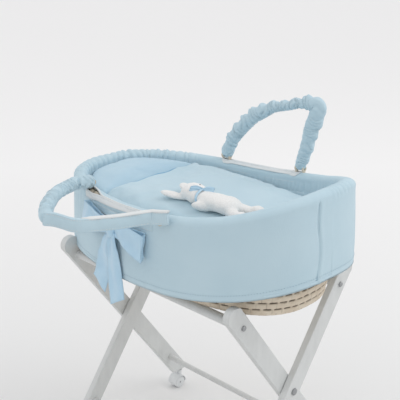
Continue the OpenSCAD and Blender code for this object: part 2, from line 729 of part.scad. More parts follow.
placed() pillow();
placed() coverlet();
placed() bow();
placed() near_slot_facing();
placed() far_slot_facing();
placed() near_handle_loops();
placed() far_handle_loops();
placed() near_handle_core();
placed() near_handle_sleeve();
placed() near_handle_strap();
placed() far_handle_core();
placed() far_handle_sleeve();
placed() rabbit();
placed() rabbit_ribbon();
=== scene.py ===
import json
import math
import bpy
import bmesh
import numpy as np
from mathutils import Matrix, Vector
from mathutils.bvhtree import BVHTree


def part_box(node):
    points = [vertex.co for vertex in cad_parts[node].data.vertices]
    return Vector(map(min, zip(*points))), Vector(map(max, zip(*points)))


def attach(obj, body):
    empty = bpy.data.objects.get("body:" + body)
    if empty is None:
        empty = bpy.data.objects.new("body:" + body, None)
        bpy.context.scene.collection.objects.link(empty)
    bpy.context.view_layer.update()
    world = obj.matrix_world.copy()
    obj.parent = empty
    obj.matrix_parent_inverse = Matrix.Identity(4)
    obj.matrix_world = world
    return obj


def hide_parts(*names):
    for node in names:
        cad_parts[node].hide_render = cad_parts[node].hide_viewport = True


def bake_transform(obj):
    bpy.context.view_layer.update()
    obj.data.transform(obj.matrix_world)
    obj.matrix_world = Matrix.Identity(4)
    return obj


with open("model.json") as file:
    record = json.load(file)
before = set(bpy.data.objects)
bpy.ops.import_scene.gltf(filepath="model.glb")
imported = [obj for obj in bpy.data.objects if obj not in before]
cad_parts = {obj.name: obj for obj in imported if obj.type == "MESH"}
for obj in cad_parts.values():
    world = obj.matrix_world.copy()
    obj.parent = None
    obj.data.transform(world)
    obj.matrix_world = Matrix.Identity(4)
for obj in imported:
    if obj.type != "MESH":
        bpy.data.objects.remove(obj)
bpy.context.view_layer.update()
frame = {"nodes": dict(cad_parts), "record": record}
scene = bpy.context.scene
print("frame loaded")

# the basket's own lines, shared by every soft piece
basket = {
    "rimA": 0.386, "rimB": 0.220,        # half length and half width at the rim
    "power": 2.45, "egg": 0.08,          # how square the oval is, and how much wider its foot end
    "rimLow": 0.801, "rimRise": 0.097, "risePower": 4.1,
    "hemA": 0.4100, "hemB": 0.2430, "hemLow": 0.610, "hemRise": 0.076, "hemPower": 3.3,
    "rollR": 0.0149, "borderR": 0.011,
    "baseA": 0.352, "baseB": 0.181, "wall": 0.008, "liner": 0.010,
}
borderLow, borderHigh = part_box("woven_border")
midY = (borderLow.y + borderHigh.y) / 2
baseLow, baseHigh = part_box("woven_base")
shelfZ = baseHigh.z + 0.0003


def signPow(v, p):
    return np.sign(v) * np.abs(v) ** p


def along(t):
    return signPow(np.cos(t), 2 / basket["power"])


def oval(a, b, t):
    x = a * along(t)
    y = b * signPow(np.sin(t), 2 / basket["power"]) * (1 + basket["egg"] * x / a)
    return x, y


def rimZ(t):
    return basket["rimLow"] + basket["rimRise"] * ((1 + along(t)) / 2) ** basket["risePower"]


def rollZ(t):
    return rimZ(t) - basket["rollR"]


def hemZ(t):
    return basket["hemLow"] + basket["hemRise"] * ((1 + along(t)) / 2) ** basket["hemPower"]


def mix(a, b, k):
    return a + (b - a) * k


def smooth(low, high, x):
    k = np.clip((x - low) / (high - low), 0, 1)
    return k * k * (3 - 2 * k)


# stations at even steps of the rim's own length, counted from the foot end toward +Y
fineT = np.linspace(0, 2 * math.pi, 24001)
fineX, fineY = oval(basket["rimA"], basket["rimB"], fineT)
fineS = np.concatenate([[0], np.cumsum(np.hypot(np.diff(fineX), np.diff(fineY)))])
rimLength = fineS[-1]


def evenT(count):
    return np.interp(np.arange(count) / count * rimLength, fineS, fineT)


def lengthAt(t):
    return np.interp(t, fineT, fineS)


def tAtX(x, side):
    u = np.clip(x / basket["rimA"], -1, 1)
    t = np.arccos(signPow(u, basket["power"] / 2))
    return t if side > 0 else 2 * math.pi - t


# smooth value noise along one line, from -1 to 1
def wave1(x, seed, scale):
    r = np.random.default_rng(seed).uniform(-1, 1, 4096)
    f = np.asarray(x) / scale
    i = np.floor(f).astype(int)
    k = f - i
    k = k * k * (3 - 2 * k)
    return r[i % 4096] * (1 - k) + r[(i + 1) % 4096] * k


def wave2(x, y, seed, scale):
    r = np.random.default_rng(seed).uniform(-1, 1, (256, 256))
    fx, fy = np.asarray(x) / scale + 900, np.asarray(y) / scale + 900
    i, j = np.floor(fx).astype(int), np.floor(fy).astype(int)
    p, q = fx - i, fy - j
    p, q = p * p * (3 - 2 * p), q * q * (3 - 2 * q)
    i, j = i % 256, j % 256
    i1, j1 = (i + 1) % 256, (j + 1) % 256
    return (r[i, j] * (1 - p) * (1 - q) + r[i1, j] * p * (1 - q)
            + r[i, j1] * (1 - p) * q + r[i1, j1] * p * q)


# mesh helpers
def gridFaces(rows, cols, wrapCols=True, start=0, wrapRows=False):
    i, j = np.meshgrid(np.arange(rows if wrapRows else rows - 1), np.arange(cols if wrapCols else cols - 1),
                       indexing="ij")
    i, j = i.ravel(), j.ravel()
    i1, j1 = (i + 1) % rows, (j + 1) % cols
    return (np.stack([i * cols + j, i * cols + j1, i1 * cols + j1, i1 * cols + j], 1) + start).tolist()


# a stack of rings closed at both ends
def closedFaces(rows, cols):
    faces = gridFaces(rows, cols)
    faces.append(list(range(cols))[::-1])
    faces.append([(rows - 1) * cols + i for i in range(cols)])
    return faces


def newPiece(name, points, faces, finish, body, centred=True, flip=False):
    points = np.array(points, float).reshape(-1, 3)
    if centred:
        points[:, 1] += midY
    if flip:
        faces = [f[::-1] for f in faces]
    mesh = bpy.data.meshes.new(name)
    mesh.from_pydata(points.tolist(), [], faces)
    mesh.update()
    mesh.polygons.foreach_set("use_smooth", [True] * len(mesh.polygons))
    if finish is not None:
        mesh.materials.append(finish)
    obj = bpy.data.objects.new(name, mesh)
    scene.collection.objects.link(obj)
    if body:
        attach(obj, body)
    return obj


def weld(obj, distance=1e-5):
    work = bmesh.new()
    work.from_mesh(obj.data)
    bmesh.ops.remove_doubles(work, verts=work.verts, dist=distance)
    work.to_mesh(obj.data)
    work.free()
    return obj


def applyAll(obj):
    dg = bpy.context.evaluated_depsgraph_get()
    mesh = bpy.data.meshes.new_from_object(obj.evaluated_get(dg))
    obj.modifiers.clear()
    old = obj.data
    obj.data = mesh
    bpy.data.meshes.remove(old)
    mesh.polygons.foreach_set("use_smooth", [True] * len(mesh.polygons))
    return obj


def thicken(obj, thickness, offset=-1):
    m = obj.modifiers.new("cloth", "SOLIDIFY")
    m.thickness, m.offset = thickness, offset
    m.use_quality_normals = True
    return applyAll(obj)


def subdivide(obj, levels=1):
    m = obj.modifiers.new("fine", "SUBSURF")
    m.levels = m.render_levels = levels
    return applyAll(obj)


def remesh(obj, voxel):
    m = obj.modifiers.new("voxels", "REMESH")
    m.mode, m.voxel_size, m.use_smooth_shade = "VOXEL", voxel, True
    return applyAll(obj)


def relax(obj, factor, times):
    m = obj.modifiers.new("relax", "SMOOTH")
    m.factor, m.iterations = factor, times
    return applyAll(obj)


def pointsOf(obj):
    co = np.zeros(len(obj.data.vertices) * 3)
    obj.data.vertices.foreach_get("co", co)
    return co.reshape(-1, 3)


def setPoints(obj, co):
    obj.data.vertices.foreach_set("co", co.ravel())
    obj.data.update()


def normalsOf(obj):
    n = np.zeros(len(obj.data.vertices) * 3)
    obj.data.vertices.foreach_get("normal", n)
    return n.reshape(-1, 3)


# stuffing: an inflated cloth shell whose points may only move so far
def stuff(obj, voxel, pressure, cap, steps=20, shrink=0.0):
    remesh(obj, voxel)
    rest = pointsOf(obj)
    cloth = obj.modifiers.new("cloth", "CLOTH")
    cloth.settings.use_pressure = True
    cloth.settings.uniform_pressure_force = pressure
    cloth.settings.effector_weights.gravity = 0
    cloth.settings.tension_stiffness = cloth.settings.compression_stiffness = 12
    cloth.settings.shrink_min = -shrink
    cloth.point_cache.frame_end = steps
    for f in range(1, steps + 1):
        scene.frame_set(f)
    dg = bpy.context.evaluated_depsgraph_get()
    moved = obj.evaluated_get(dg).data
    co = np.zeros(len(moved.vertices) * 3)
    moved.vertices.foreach_get("co", co)
    go = co.reshape(-1, 3) - rest
    far = np.linalg.norm(go, axis=1, keepdims=True)
    obj.modifiers.clear()
    setPoints(obj, rest + go * np.minimum(1, cap / np.maximum(far, 1e-9)))
    scene.frame_set(1)
    return relax(obj, 0.5, 2)


def curve(points, steps):
    p = np.array(points, float)
    out = []
    n = len(p) - 1
    for i in range(n):
        a, b, c, d = p[max(i - 1, 0)], p[i], p[i + 1], p[min(i + 2, n)]
        for f in np.arange(steps) / steps:
            out.append(0.5 * ((2 * b) + (c - a) * f + (2 * a - 5 * b + 4 * c - d) * f * f
                              + (3 * b - a - 3 * c + d) * f ** 3))
    out.append(p[n])
    return np.array(out)


def even(path, step, closed=False):
    p = np.vstack([path, path[:1]]) if closed else np.array(path)
    s = np.concatenate([[0], np.cumsum(np.linalg.norm(np.diff(p, axis=0), axis=1))])
    n = max(3, int(round(s[-1] / step)))
    at = np.linspace(0, s[-1], n + (0 if closed else 1), endpoint=not closed)
    return np.stack([np.interp(at, s, p[:, k]) for k in range(3)], 1), at


def headings(path, closed=False):
    if closed:
        d = np.roll(path, -1, 0) - np.roll(path, 1, 0)
    else:
        d = np.gradient(path, axis=0)
    return d / np.maximum(np.linalg.norm(d, axis=1, keepdims=True), 1e-12)


# a tube round a path; shape gives the ring's (across, up) points at each step
def tube(name, path, shape, finish, body, normal=None, closed=False, caps=True, centred=True):
    d = headings(path, closed)
    if normal is None:
        up = np.tile([0.0, 0.0, 1.0], (len(path), 1))
    else:
        up = np.tile(normal, (len(path), 1)) if np.ndim(normal) == 1 else np.array(normal)
    side = np.cross(d, up)
    side /= np.maximum(np.linalg.norm(side, axis=1, keepdims=True), 1e-9)
    up = np.cross(side, d)
    rings = [path[i] + side[i] * c[:, :1] + up[i] * c[:, 1:2]
             for i, c in enumerate(shape(i) for i in range(len(path)))]
    cols = len(rings[0])
    points = np.vstack(rings)
    faces = gridFaces(len(path), cols, True, 0, closed)
    if caps and not closed:
        faces.append(list(range(cols))[::-1])
        faces.append(list(range((len(path) - 1) * cols, len(path) * cols)))
    obj = newPiece(name, points, faces, finish, body, centred, flip=True)
    return obj


def ringOf(r, count=12, turn=0.0):
    a = np.arange(count) / count * 2 * math.pi + turn
    return np.stack([r * np.cos(a), r * np.sin(a)], 1)


def joined(name, pieces, body):
    bpy.ops.object.select_all(action="DESELECT")
    for o in pieces:
        o.select_set(True)
    bpy.context.view_layer.objects.active = pieces[0]
    bpy.ops.object.join()
    obj = pieces[0]
    obj.name = name
    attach(obj, body)
    return obj


# finishes
def newFinish(name, colour, roughness):
    m = bpy.data.materials.new(name)
    m.use_nodes = True
    shader = m.node_tree.nodes["Principled BSDF"]
    shader.inputs["Base Color"].default_value = (*colour, 1)
    shader.inputs["Roughness"].default_value = roughness
    return m, m.node_tree, shader


def node(tree, kind, **values):
    n = tree.nodes.new(kind)
    for k, v in values.items():
        if k in n.inputs:
            n.inputs[k].default_value = v
        else:
            setattr(n, k, v)
    return n


def place(tree):
    return node(tree, "ShaderNodeTexCoord").outputs["Object"]


def tinted(tree, shader, factor, low, high):
    ramp = node(tree, "ShaderNodeValToRGB")
    ramp.color_ramp.elements[0].position, ramp.color_ramp.elements[0].color = low[0], (*low[1], 1)
    ramp.color_ramp.elements[1].position, ramp.color_ramp.elements[1].color = high[0], (*high[1], 1)
    tree.links.new(factor, ramp.inputs["Fac"])
    tree.links.new(ramp.outputs["Color"], shader.inputs["Base Color"])
    return ramp


def bumped(tree, shader, height, distance, strength=1.0, under=None):
    b = node(tree, "ShaderNodeBump", Strength=strength, Distance=distance)
    tree.links.new(height, b.inputs["Height"])
    if under is not None:
        tree.links.new(under.outputs["Normal"], b.inputs["Normal"])
    tree.links.new(b.outputs["Normal"], shader.inputs["Normal"])
    return b


def rough(tree, shader, factor, low, high):
    r = node(tree, "ShaderNodeMapRange")
    r.inputs["To Min"].default_value, r.inputs["To Max"].default_value = low, high
    tree.links.new(factor, r.inputs["Value"])
    tree.links.new(r.outputs["Result"], shader.inputs["Roughness"])


def noiseOf(tree, vector, scale, detail=3.0):
    n = node(tree, "ShaderNodeTexNoise", Scale=scale, Detail=detail)
    tree.links.new(vector, n.inputs["Vector"])
    return n.outputs["Fac"]


def maths(tree, kind, a, b=None):
    n = node(tree, "ShaderNodeMath", operation=kind)
    for i, v in enumerate((a, b)):
        if v is None:
            continue
        if isinstance(v, (int, float)):
            n.inputs[i].default_value = v
        else:
            tree.links.new(v, n.inputs[i])
    return n.outputs[0]


# plain weave: warp and weft threads crossing at their own pitch
def weaveOf(tree, vector, pitch):
    parts = []
    split = node(tree, "ShaderNodeSeparateXYZ")
    tree.links.new(vector, split.inputs[0])
    for axis in "XYZ":
        parts.append(maths(tree, "SINE", maths(tree, "MULTIPLY", split.outputs[axis], 2 * math.pi / pitch)))
    return maths(tree, "ADD", maths(tree, "MULTIPLY", parts[0], parts[1]), maths(tree, "MULTIPLY", parts[2],
        0.8))


def clothFinish(name, look):
    m, tree, shader = newFinish(name, look["light"], look["roughness"])
    at = place(tree)
    patches = noiseOf(tree, at, look["patch"], 4)
    tinted(tree, shader, patches, (0.3, look["dark"]), (0.7, look["light"]))
    rough(tree, shader, patches, look["roughness"] - 0.06, look["roughness"] + 0.06)
    crease = bumped(tree, shader, noiseOf(tree, at, look["creaseScale"], 5), look["crease"], 0.6)
    bumped(tree, shader, weaveOf(tree, at, look["pitch"]), look["threads"], 0.5, crease)
    shader.inputs["Sheen Weight"].default_value = look["sheen"]
    shader.inputs["Sheen Roughness"].default_value = 0.5
    shader.inputs["Specular IOR Level"].default_value = 0.25
    return m


clothLook = {
    "light": (0.548, 0.700, 0.775), "dark": (0.510, 0.668, 0.748), "roughness": 0.82, "patch": 9.0,
    "creaseScale": 26.0, "crease": 0.0012, "pitch": 0.0011, "threads": 0.00018, "sheen": 0.15,
}
blueCotton = clothFinish("blueCotton", clothLook)
sheetCotton = clothFinish("sheetCotton", {**clothLook, "light": (0.50, 0.67, 0.77), "dark": (0.45, 0.63,
    0.75)})
# darker blue for the painted shadow line along the coverlet's turned edge
shadowLineCotton = clothFinish("shadowLineCotton", {**clothLook, "light": (0.27, 0.50, 0.68), "dark": (0.22, 0.44, 0.62)})
whiteCotton = clothFinish("whiteCotton", {**clothLook, "light": (0.80, 0.82, 0.82), "dark": (0.74, 0.77,
    0.78),
                                          "crease": 0.0005})
coverFoam = clothFinish("foamCover", {**clothLook, "light": (0.84, 0.84, 0.80), "dark": (0.80, 0.80, 0.76),
                                      "pitch": 0.0022})

satinLook = {"light": (0.50, 0.70, 0.84), "dark": (0.43, 0.64, 0.80), "roughness": 0.34}


def satinFinish():
    m, tree, shader = newFinish("satinRibbon", satinLook["light"], satinLook["roughness"])
    at = place(tree)
    cloud = noiseOf(tree, at, 22, 3)
    tinted(tree, shader, cloud, (0.3, satinLook["dark"]), (0.7, satinLook["light"]))
    rough(tree, shader, cloud, satinLook["roughness"] - 0.05, satinLook["roughness"] + 0.1)
    stretch = node(tree, "ShaderNodeMapping")
    stretch.inputs["Scale"].default_value = (1400, 1400, 90)
    tree.links.new(at, stretch.inputs["Vector"])
    bumped(tree, shader, noiseOf(tree, stretch.outputs["Vector"], 1.0, 2), 0.0001, 0.4)
    shader.inputs["Sheen Weight"].default_value = 0.3
    shader.inputs["Anisotropic"].default_value = 0.4
    return m


satinRibbon = satinFinish()

paintLook = {"light": (0.655, 0.67, 0.665), "dark": (0.60, 0.615, 0.61), "roughness": 0.42}


# satin paint over beech: long shallow grain and a few brush streaks
def paintFinish():
    m, tree, shader = newFinish("paintedWood", paintLook["light"], paintLook["roughness"])
    at = place(tree)
    turn = node(tree, "ShaderNodeMapping")
    turn.inputs["Scale"].default_value = (220, 60, 14)
    tree.links.new(at, turn.inputs["Vector"])
    grain = noiseOf(tree, turn.outputs["Vector"], 1.0, 6)
    cloud = noiseOf(tree, at, 11, 3)
    tinted(tree, shader, maths(tree, "MULTIPLY", maths(tree, "ADD", grain, cloud), 0.5),
           (0.35, paintLook["dark"]), (0.6, paintLook["light"]))
    rough(tree, shader, cloud, paintLook["roughness"] - 0.07, paintLook["roughness"] + 0.08)
    fine = bumped(tree, shader, grain, 0.00025, 0.6)
    bumped(tree, shader, noiseOf(tree, at, 300, 2), 0.00006, 0.3, fine)
    return m


paintedWood = paintFinish()


def metalFinish(name, colour, roughness, brush):
    m, tree, shader = newFinish(name, colour, roughness)
    at = place(tree)
    fine = noiseOf(tree, at, brush, 4)
    tinted(tree, shader, fine, (0.25, tuple(c * 0.86 for c in colour)), (0.8, colour))
    rough(tree, shader, fine, roughness - 0.08, roughness + 0.12)
    bumped(tree, shader, fine, 0.00004, 0.5)
    shader.inputs["Metallic"].default_value = 1.0
    return m


zincSteel = metalFinish("zincSteel", (0.40, 0.41, 0.42), 0.34, 420)
turnedBrass = metalFinish("turnedBrass", (0.72, 0.55, 0.26), 0.30, 520)


def nylonFinish():
    m, tree, shader = newFinish("whiteNylon", (0.70, 0.72, 0.725), 0.36)
    at = place(tree)
    cloud = noiseOf(tree, at, 60, 3)
    tinted(tree, shader, cloud, (0.3, (0.66, 0.68, 0.69)), (0.75, (0.72, 0.74, 0.745)))
    rough(tree, shader, noiseOf(tree, at, 240, 3), 0.30, 0.46)
    bumped(tree, shader, noiseOf(tree, at, 900, 2), 0.00005, 0.4)
    return m


whiteNylon = nylonFinish()

plushLook = {"light": (0.86, 0.855, 0.84), "dark": (0.78, 0.77, 0.755)}


def plushFinish():
    m, tree, shader = newFinish("whitePlush", plushLook["light"], 0.95)
    at = place(tree)
    tufts = noiseOf(tree, at, 330, 5)
    tinted(tree, shader, tufts, (0.32, plushLook["dark"]), (0.62, plushLook["light"]))
    low = bumped(tree, shader, noiseOf(tree, at, 110, 4), 0.0016, 0.7)
    bumped(tree, shader, tufts, 0.0009, 0.9, low)
    rough(tree, shader, tufts, 0.88, 1.0)
    shader.inputs["Sheen Weight"].default_value = 0.6
    shader.inputs["Sheen Roughness"].default_value = 0.4
    return m


whitePlush = plushFinish()

# dark is a painted shade colour for the cane's gaps and hollows
caneLook = {"light": (0.63, 0.53, 0.41), "pale": (0.74, 0.66, 0.54), "dark": (0.060, 0.040, 0.025)}


# palm strands: fibres run along each coil; the gap attribute lays painted shade into the gaps between rows
# and the hollows between strands
def caneFinish():
    m, tree, shader = newFinish("wovenCane", caneLook["light"], 0.7)
    at = place(tree)
    fibre = node(tree, "ShaderNodeMapping")
    fibre.inputs["Scale"].default_value = (60, 60, 900)
    tree.links.new(at, fibre.inputs["Vector"])
    strand = noiseOf(tree, fibre.outputs["Vector"], 1.0, 4)
    patch = noiseOf(tree, at, 34, 3)
    body = node(tree, "ShaderNodeValToRGB")
    body.color_ramp.elements[0].position, body.color_ramp.elements[0].color = 0.36, (*caneLook["light"], 1)
    body.color_ramp.elements[1].position, body.color_ramp.elements[1].color = 0.64, (*caneLook["pale"], 1)
    tree.links.new(maths(tree, "MULTIPLY", maths(tree, "ADD", strand, patch), 0.5), body.inputs["Fac"])
    # the gap attribute is a painted-shade mask that mixes the dark colour into recesses
    paintedGapShade = node(tree, "ShaderNodeAttribute", attribute_name="gap")
    blend = node(tree, "ShaderNodeMix", data_type="RGBA")
    tree.links.new(paintedGapShade.outputs["Fac"], blend.inputs["Factor"])
    tree.links.new(body.outputs["Color"], blend.inputs["A"])
    blend.inputs["B"].default_value = (*caneLook["dark"], 1)
    tree.links.new(blend.outputs["Result"], shader.inputs["Base Color"])
    rough(tree, shader, patch, 0.60, 0.80)
    bumped(tree, shader, strand, 0.0006, 0.8)
    return m


wovenCane = caneFinish()
threadLook = {"white": (0.85, 0.86, 0.86), "blue": (0.42, 0.57, 0.66), "brown": (0.33, 0.25, 0.21),
              "dark": (0.03, 0.03, 0.035)}


def threadFinish(name, colour):
    m, tree, shader = newFinish(name, colour, 0.7)
    at = place(tree)
    fine = noiseOf(tree, at, 500, 2)
    tinted(tree, shader, fine, (0.3, tuple(c * 0.85 for c in colour)), (0.7, colour))
    bumped(tree, shader, fine, 0.0002, 0.6)
    return m


threads = {k: threadFinish(k + "Thread", v) for k, v in threadLook.items()}


# stores a painted-shade mask for the cane's recesses as the gap attribute
def paintGapShade(obj, values):
    layer = obj.data.attributes.new("gap", "FLOAT", "POINT")
    layer.data.foreach_set("value", np.asarray(values, np.float32).ravel())


print("finishes made")

# stand: boards with eased edges, everything else keeps its turned shape
stand = {"ease": 0.0028, "roundTop": 0.025}


# the same board with its long edges and rounded top eased; bores stay as they are
def easedBoard(nodeName, body):
    src = frame["nodes"][nodeName]
    mesh = src.data.copy()
    mesh.materials.clear()
    work = bmesh.new()
    work.from_mesh(mesh)
    bmesh.ops.remove_doubles(work, verts=work.verts, dist=2e-6)
    bmesh.ops.dissolve_limit(work, angle_limit=math.radians(0.6), verts=work.verts, edges=work.edges)
    low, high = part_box(nodeName)
    top = max(v.co.z for v in work.verts)
    tips = [v.co for v in work.verts if v.co.z > top - 0.0004]
    topY = sum(c.y for c in tips) / len(tips)
    centre = Vector((0, topY, top - stand["roundTop"]))
    pick = []
    for e in work.edges:
        if len(e.link_faces) != 2 or e.calc_face_angle(0) < math.radians(35):
            continue
        a, b = e.verts[0].co, e.verts[1].co
        onFace = abs(a.x - b.x) < 1e-5 and min(abs(a.x - low.x), abs(a.x - high.x)) < 1e-5
        if not onFace:
            continue
        r = [math.hypot(c.y - centre.y, c.z - centre.z) for c in (a, b)]
        if e.calc_length() > 0.045 or (all(abs(q - stand["roundTop"]) < 3e-4 for q in r)):
            pick.append(e)
    bmesh.ops.bevel(work, geom=pick, offset=stand["ease"], segments=3, profile=0.5, affect="EDGES",
                    clamp_overlap=False)
    work.normal_update()
    work.to_mesh(mesh)
    work.free()
    obj = bpy.data.objects.new(nodeName + "_board", mesh)
    scene.collection.objects.link(obj)
    mesh.materials.append(paintedWood)
    for p in mesh.polygons:
        p.use_smooth = True
        p.material_index = 0
    m = obj.modifiers.new("flat faces", "WEIGHTED_NORMAL")
    m.keep_sharp = True
    mesh.set_sharp_from_angle(angle=math.radians(30))
    applyKeep = bpy.context.evaluated_depsgraph_get()
    done = bpy.data.meshes.new_from_object(obj.evaluated_get(applyKeep))
    obj.modifiers.clear()
    obj.data = done
    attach(obj, body)
    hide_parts(nodeName)
    return obj


bodyOf = {n: b for b, ns in frame["record"]["behaviour"]["bodies"].items() for n in ns}
for n in ("leg_a_head", "leg_a_foot", "leg_b_head", "leg_b_foot"):
    easedBoard(n, bodyOf[n])

slotFinish = {"painted_wood": paintedWood, "steel": zincSteel, "brass": turnedBrass,
              "white_plastic": whiteNylon,
              "woven_cane": wovenCane, "blue_cotton": blueCotton, "sheet_cotton": sheetCotton,
              "satin_ribbon": satinRibbon, "white_piping": whiteCotton, "foam": coverFoam,
              "plush": whitePlush}
slotOf = {s["node"]: s["material_slot"] for s in frame["record"]["subparts"]}
for name, obj in frame["nodes"].items():
    obj.data.materials.clear()
    obj.data.materials.append(slotFinish[slotOf[name]])
print("stand finished")

# woven basket: coiled rows sewn with wraps
weave = {"row": 0.018, "bulge": 0.0032, "stitch": 0.025, "dash": 0.017, "gapDeep": 0.0038, "wrapDeep": 0.0014,
         "stations": 880}


def wovenShell():
    t = evenT(weave["stations"])
    s = lengthAt(t) * 0.9
    k0, z0 = basket["baseA"], baseLow.z
    rows = []           # each row: ring points before relief, outward push direction, row phase, gap strength
    up = np.zeros(len(t))
    # underside, from the middle out
    for q in np.linspace(0.03, 0.985, 64):
        x, y = oval(k0 * q, basket["baseB"] * q, t)
        rows.append((x, y, up + z0, 0.0, 1.0, (1 - q) * basket["baseB"] / weave["row"]))
    # rounded heel
    for a in np.linspace(0, 90, 6)[1:]:
        c, d = math.sin(math.radians(a)), 1 - math.cos(math.radians(a))
        x, y = oval(k0 - 0.006 + 0.006 * c, basket["baseB"] - 0.006 + 0.006 * c, t)
        rows.append((x, y, up + z0 + 0.006 * d, c, 1 - c, -(0.006 * d) / weave["row"]))
    low = z0 + 0.006
    topZ = rollZ(t) - basket["borderR"]
    span = topZ - low
    ks = np.concatenate([np.linspace(0.012, 0.5, 84), np.linspace(0.5, 1, 34)[1:]])
    for k in ks:
        a = mix(basket["baseA"], basket["rimA"] + 0.004, k) + 0.002 * math.sin(math.pi * k)
        b = mix(basket["baseB"], basket["rimB"] + 0.004, k) + 0.002 * math.sin(math.pi * k)
        x, y = oval(a, b, t)
        z = low + span * k
        rows.append((x, y, z, 1.0, 0.0, (z - z0) / weave["row"]))
    pts, paintedGapShade = [], []
    for x, y, z, out, down, phase in rows:
        phase = phase + up
        f = phase - np.floor(phase)
        rowNo = np.floor(phase)
        bulge = np.sqrt(np.maximum(0, 1 - (2 * f - 1) ** 2))            # round coil
        edge = np.minimum(f, 1 - f) * weave["row"]                       # distance from the nearest row line
        seamNo = np.where(f < 0.5, rowNo, rowNo + 1)
        u = (s + wave1(s, 5, 0.09) * 0.004) / weave["stitch"] + seamNo * 0.5
        fu = np.abs(u - np.floor(u) - 0.5) * weave["stitch"]
        dashed = smooth(weave["dash"] / 2 + 0.0012, weave["dash"] / 2 - 0.0012, fu)
        gap = dashed * smooth(0.0024 + 0.0006 * wave1(s, 9, 0.02), 0.0006, edge)
        uw = s / weave["stitch"] + rowNo * 0.5 + 0.5 + wave1(s + rowNo * 0.7, 12, 0.05) * 0.06
        wrap = smooth(0.0013, 0.0, np.abs(uw - np.round(uw)) * weave["stitch"])
        push = weave["bulge"] * (bulge - 1) - weave["gapDeep"] * gap - weave["wrapDeep"] * wrap
        push = push + 0.0004 * wave2(s, phase * weave["row"], 3, 0.006)
        norm = np.hypot(x / basket["baseA"] ** 2, y / basket["baseB"] ** 2) + 1e-9
        nx, ny = x / basket["baseA"] ** 2 / norm, y / basket["baseB"] ** 2 / norm
        pts.append(np.stack([x + nx * push * out, y + ny * push * out, z - push * down], 1))
        # painted shade: darkest in the stitch gaps, lighter in the wrap grooves and along the crevices
        # between coils
        paintedGapShade.append(np.clip(gap * 1.1 + wrap * 0.28 + 0.18 * smooth(0.002, 0, edge), 0, 1))
    # inner face, plain rows
    for k in np.linspace(1, 0, 12):
        a = mix(basket["baseA"], basket["rimA"] + 0.004, k) - basket["wall"]
        b = mix(basket["baseB"], basket["rimB"] + 0.004, k) - basket["wall"]
        x, y = oval(a, b, t)
        pts.append(np.stack([x, y, low + 0.002 + span * k - 0.002 * k], 1))
        paintedGapShade.append(up)
    n = len(t)
    points = np.vstack(pts)
    faces = gridFaces(len(pts), n)
    faces.append(list(range(n))[::-1])
    last = (len(pts) - 1) * n
    faces.append([last + i for i in range(n)])
    obj = newPiece("wovenShell", points, faces, wovenCane, "basket", flip=False)
    paintGapShade(obj, np.concatenate(paintedGapShade))
    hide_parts("woven_base", "woven_wall")
    return obj


# plaited border: three strands winding round the rim's core
def wovenBorder():
    t = evenT(900)
    s = lengthAt(t)
    cols = 22
    pts, paintedGapShade = [], []
    for j in range(cols):
        a = j / cols * 2 * math.pi
        turn = s / 0.030 + a / (2 * math.pi) * 2
        f = turn - np.floor(turn)
        strand = np.sqrt(np.maximum(0, 1 - (2 * f - 1) ** 2))
        r = basket["borderR"] - 0.0032 + 0.0030 * strand
        x, y = oval(basket["rimA"] + r * math.cos(a), basket["rimB"] + r * math.cos(a), t)
        pts.append(np.stack([x, y, rollZ(t) + r * math.sin(a)], 1))
        # painted shade in the hollows between the plaited strands
        paintedGapShade.append(np.clip(1.25 - strand * 1.6, 0, 0.9))
    obj = newPiece("wovenBorder", np.vstack(pts), gridFaces(cols, len(t), True, 0, True), wovenCane, "basket")
    paintGapShade(obj, np.concatenate(paintedGapShade))
    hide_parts("woven_border")
    return obj


wovenShell()
wovenBorder()
print("basket woven")

# outer cover: rolled over the padded rim and hanging to its hem
cover = {
    "stations": 1000, "thickness": 0.0016,
    "headGather": 0.0062, "footGather": 0.0036, "plainGather": 0.0003,
    "pitch": 0.0165,                       # mean width of a gathered fold
    "nearSlot": (-0.222, 0.082), "farSlot": (-0.130, 0.152),
    "seamsAt": ((-0.374, 1), (-0.305, 1)), "skirtSeams": (-7, 173), "inner": 0.0026,
}


# 0 in a valley, 1 on a puff: irregular widths
def foldsAt(s, seed, pitch):
    edges = np.random.default_rng(seed).uniform(0.55, 1.5, 600) * pitch
    at = np.concatenate([[0], np.cumsum(edges)]) - pitch
    phase = np.interp(s, at, np.arange(len(at)))
    return np.abs(np.sin(math.pi * phase)) ** 0.55


# half opening of the hand slots, as an angle round the roll, and the slot's own angle
def slotOpen(t):
    x, y = oval(basket["rimA"], basket["rimB"], t)
    x0, x1 = cover["nearSlot"]
    near = np.where(y < 0, smooth(x0, x0 + 0.022, x) * smooth(x1, x1 - 0.015, x), 0)
    near = near * (0.10 + 0.46 * smooth(-0.130, -0.180, x))
    x2, x3 = cover["farSlot"]
    far = np.where(y > 0, smooth(x2, x2 + 0.014, x) * smooth(x3, x3 - 0.014, x), 0)
    far = far * (0.10 + 0.20 * smooth(-0.085, -0.105, x) + 0.20 * smooth(0.112, 0.130, x))
    angle = np.where(y < 0, math.radians(52) + math.radians(14) * smooth(-0.12, -0.20, x), math.radians(97))
    return near + far, angle


def gatherShare(t):
    x, y = oval(basket["rimA"], basket["rimB"], t)
    head = smooth(-0.165, -0.245, x) * (0.80 + 0.35 * wave1(lengthAt(t), 23, 0.06))
    foot = smooth(0.335, 0.372, x) * smooth(-0.01, 0.03, y) * smooth(0.10, 0.06, y)
    far = np.where(y > 0, smooth(0.14, 0.20, x), 0) * 0.35
    return np.maximum(cover["headGather"] * head,
                      np.maximum(cover["footGather"] * foot, np.maximum(cover["plainGather"], far * 0.0016)))


# radial seams where two lengths of the cover meet: a narrow deep valley, with a puff on each side
def seamValley(t):
    s = lengthAt(t)
    out = np.zeros(len(t))
    for x0, side in cover["seamsAt"]:
        d = s - lengthAt(tAtX(x0, side))
        out += -0.0030 * np.exp(-(d / 0.0034) ** 2) + 0.0024 * np.exp(-((np.abs(d) - 0.012) / 0.007) ** 2)
    return out


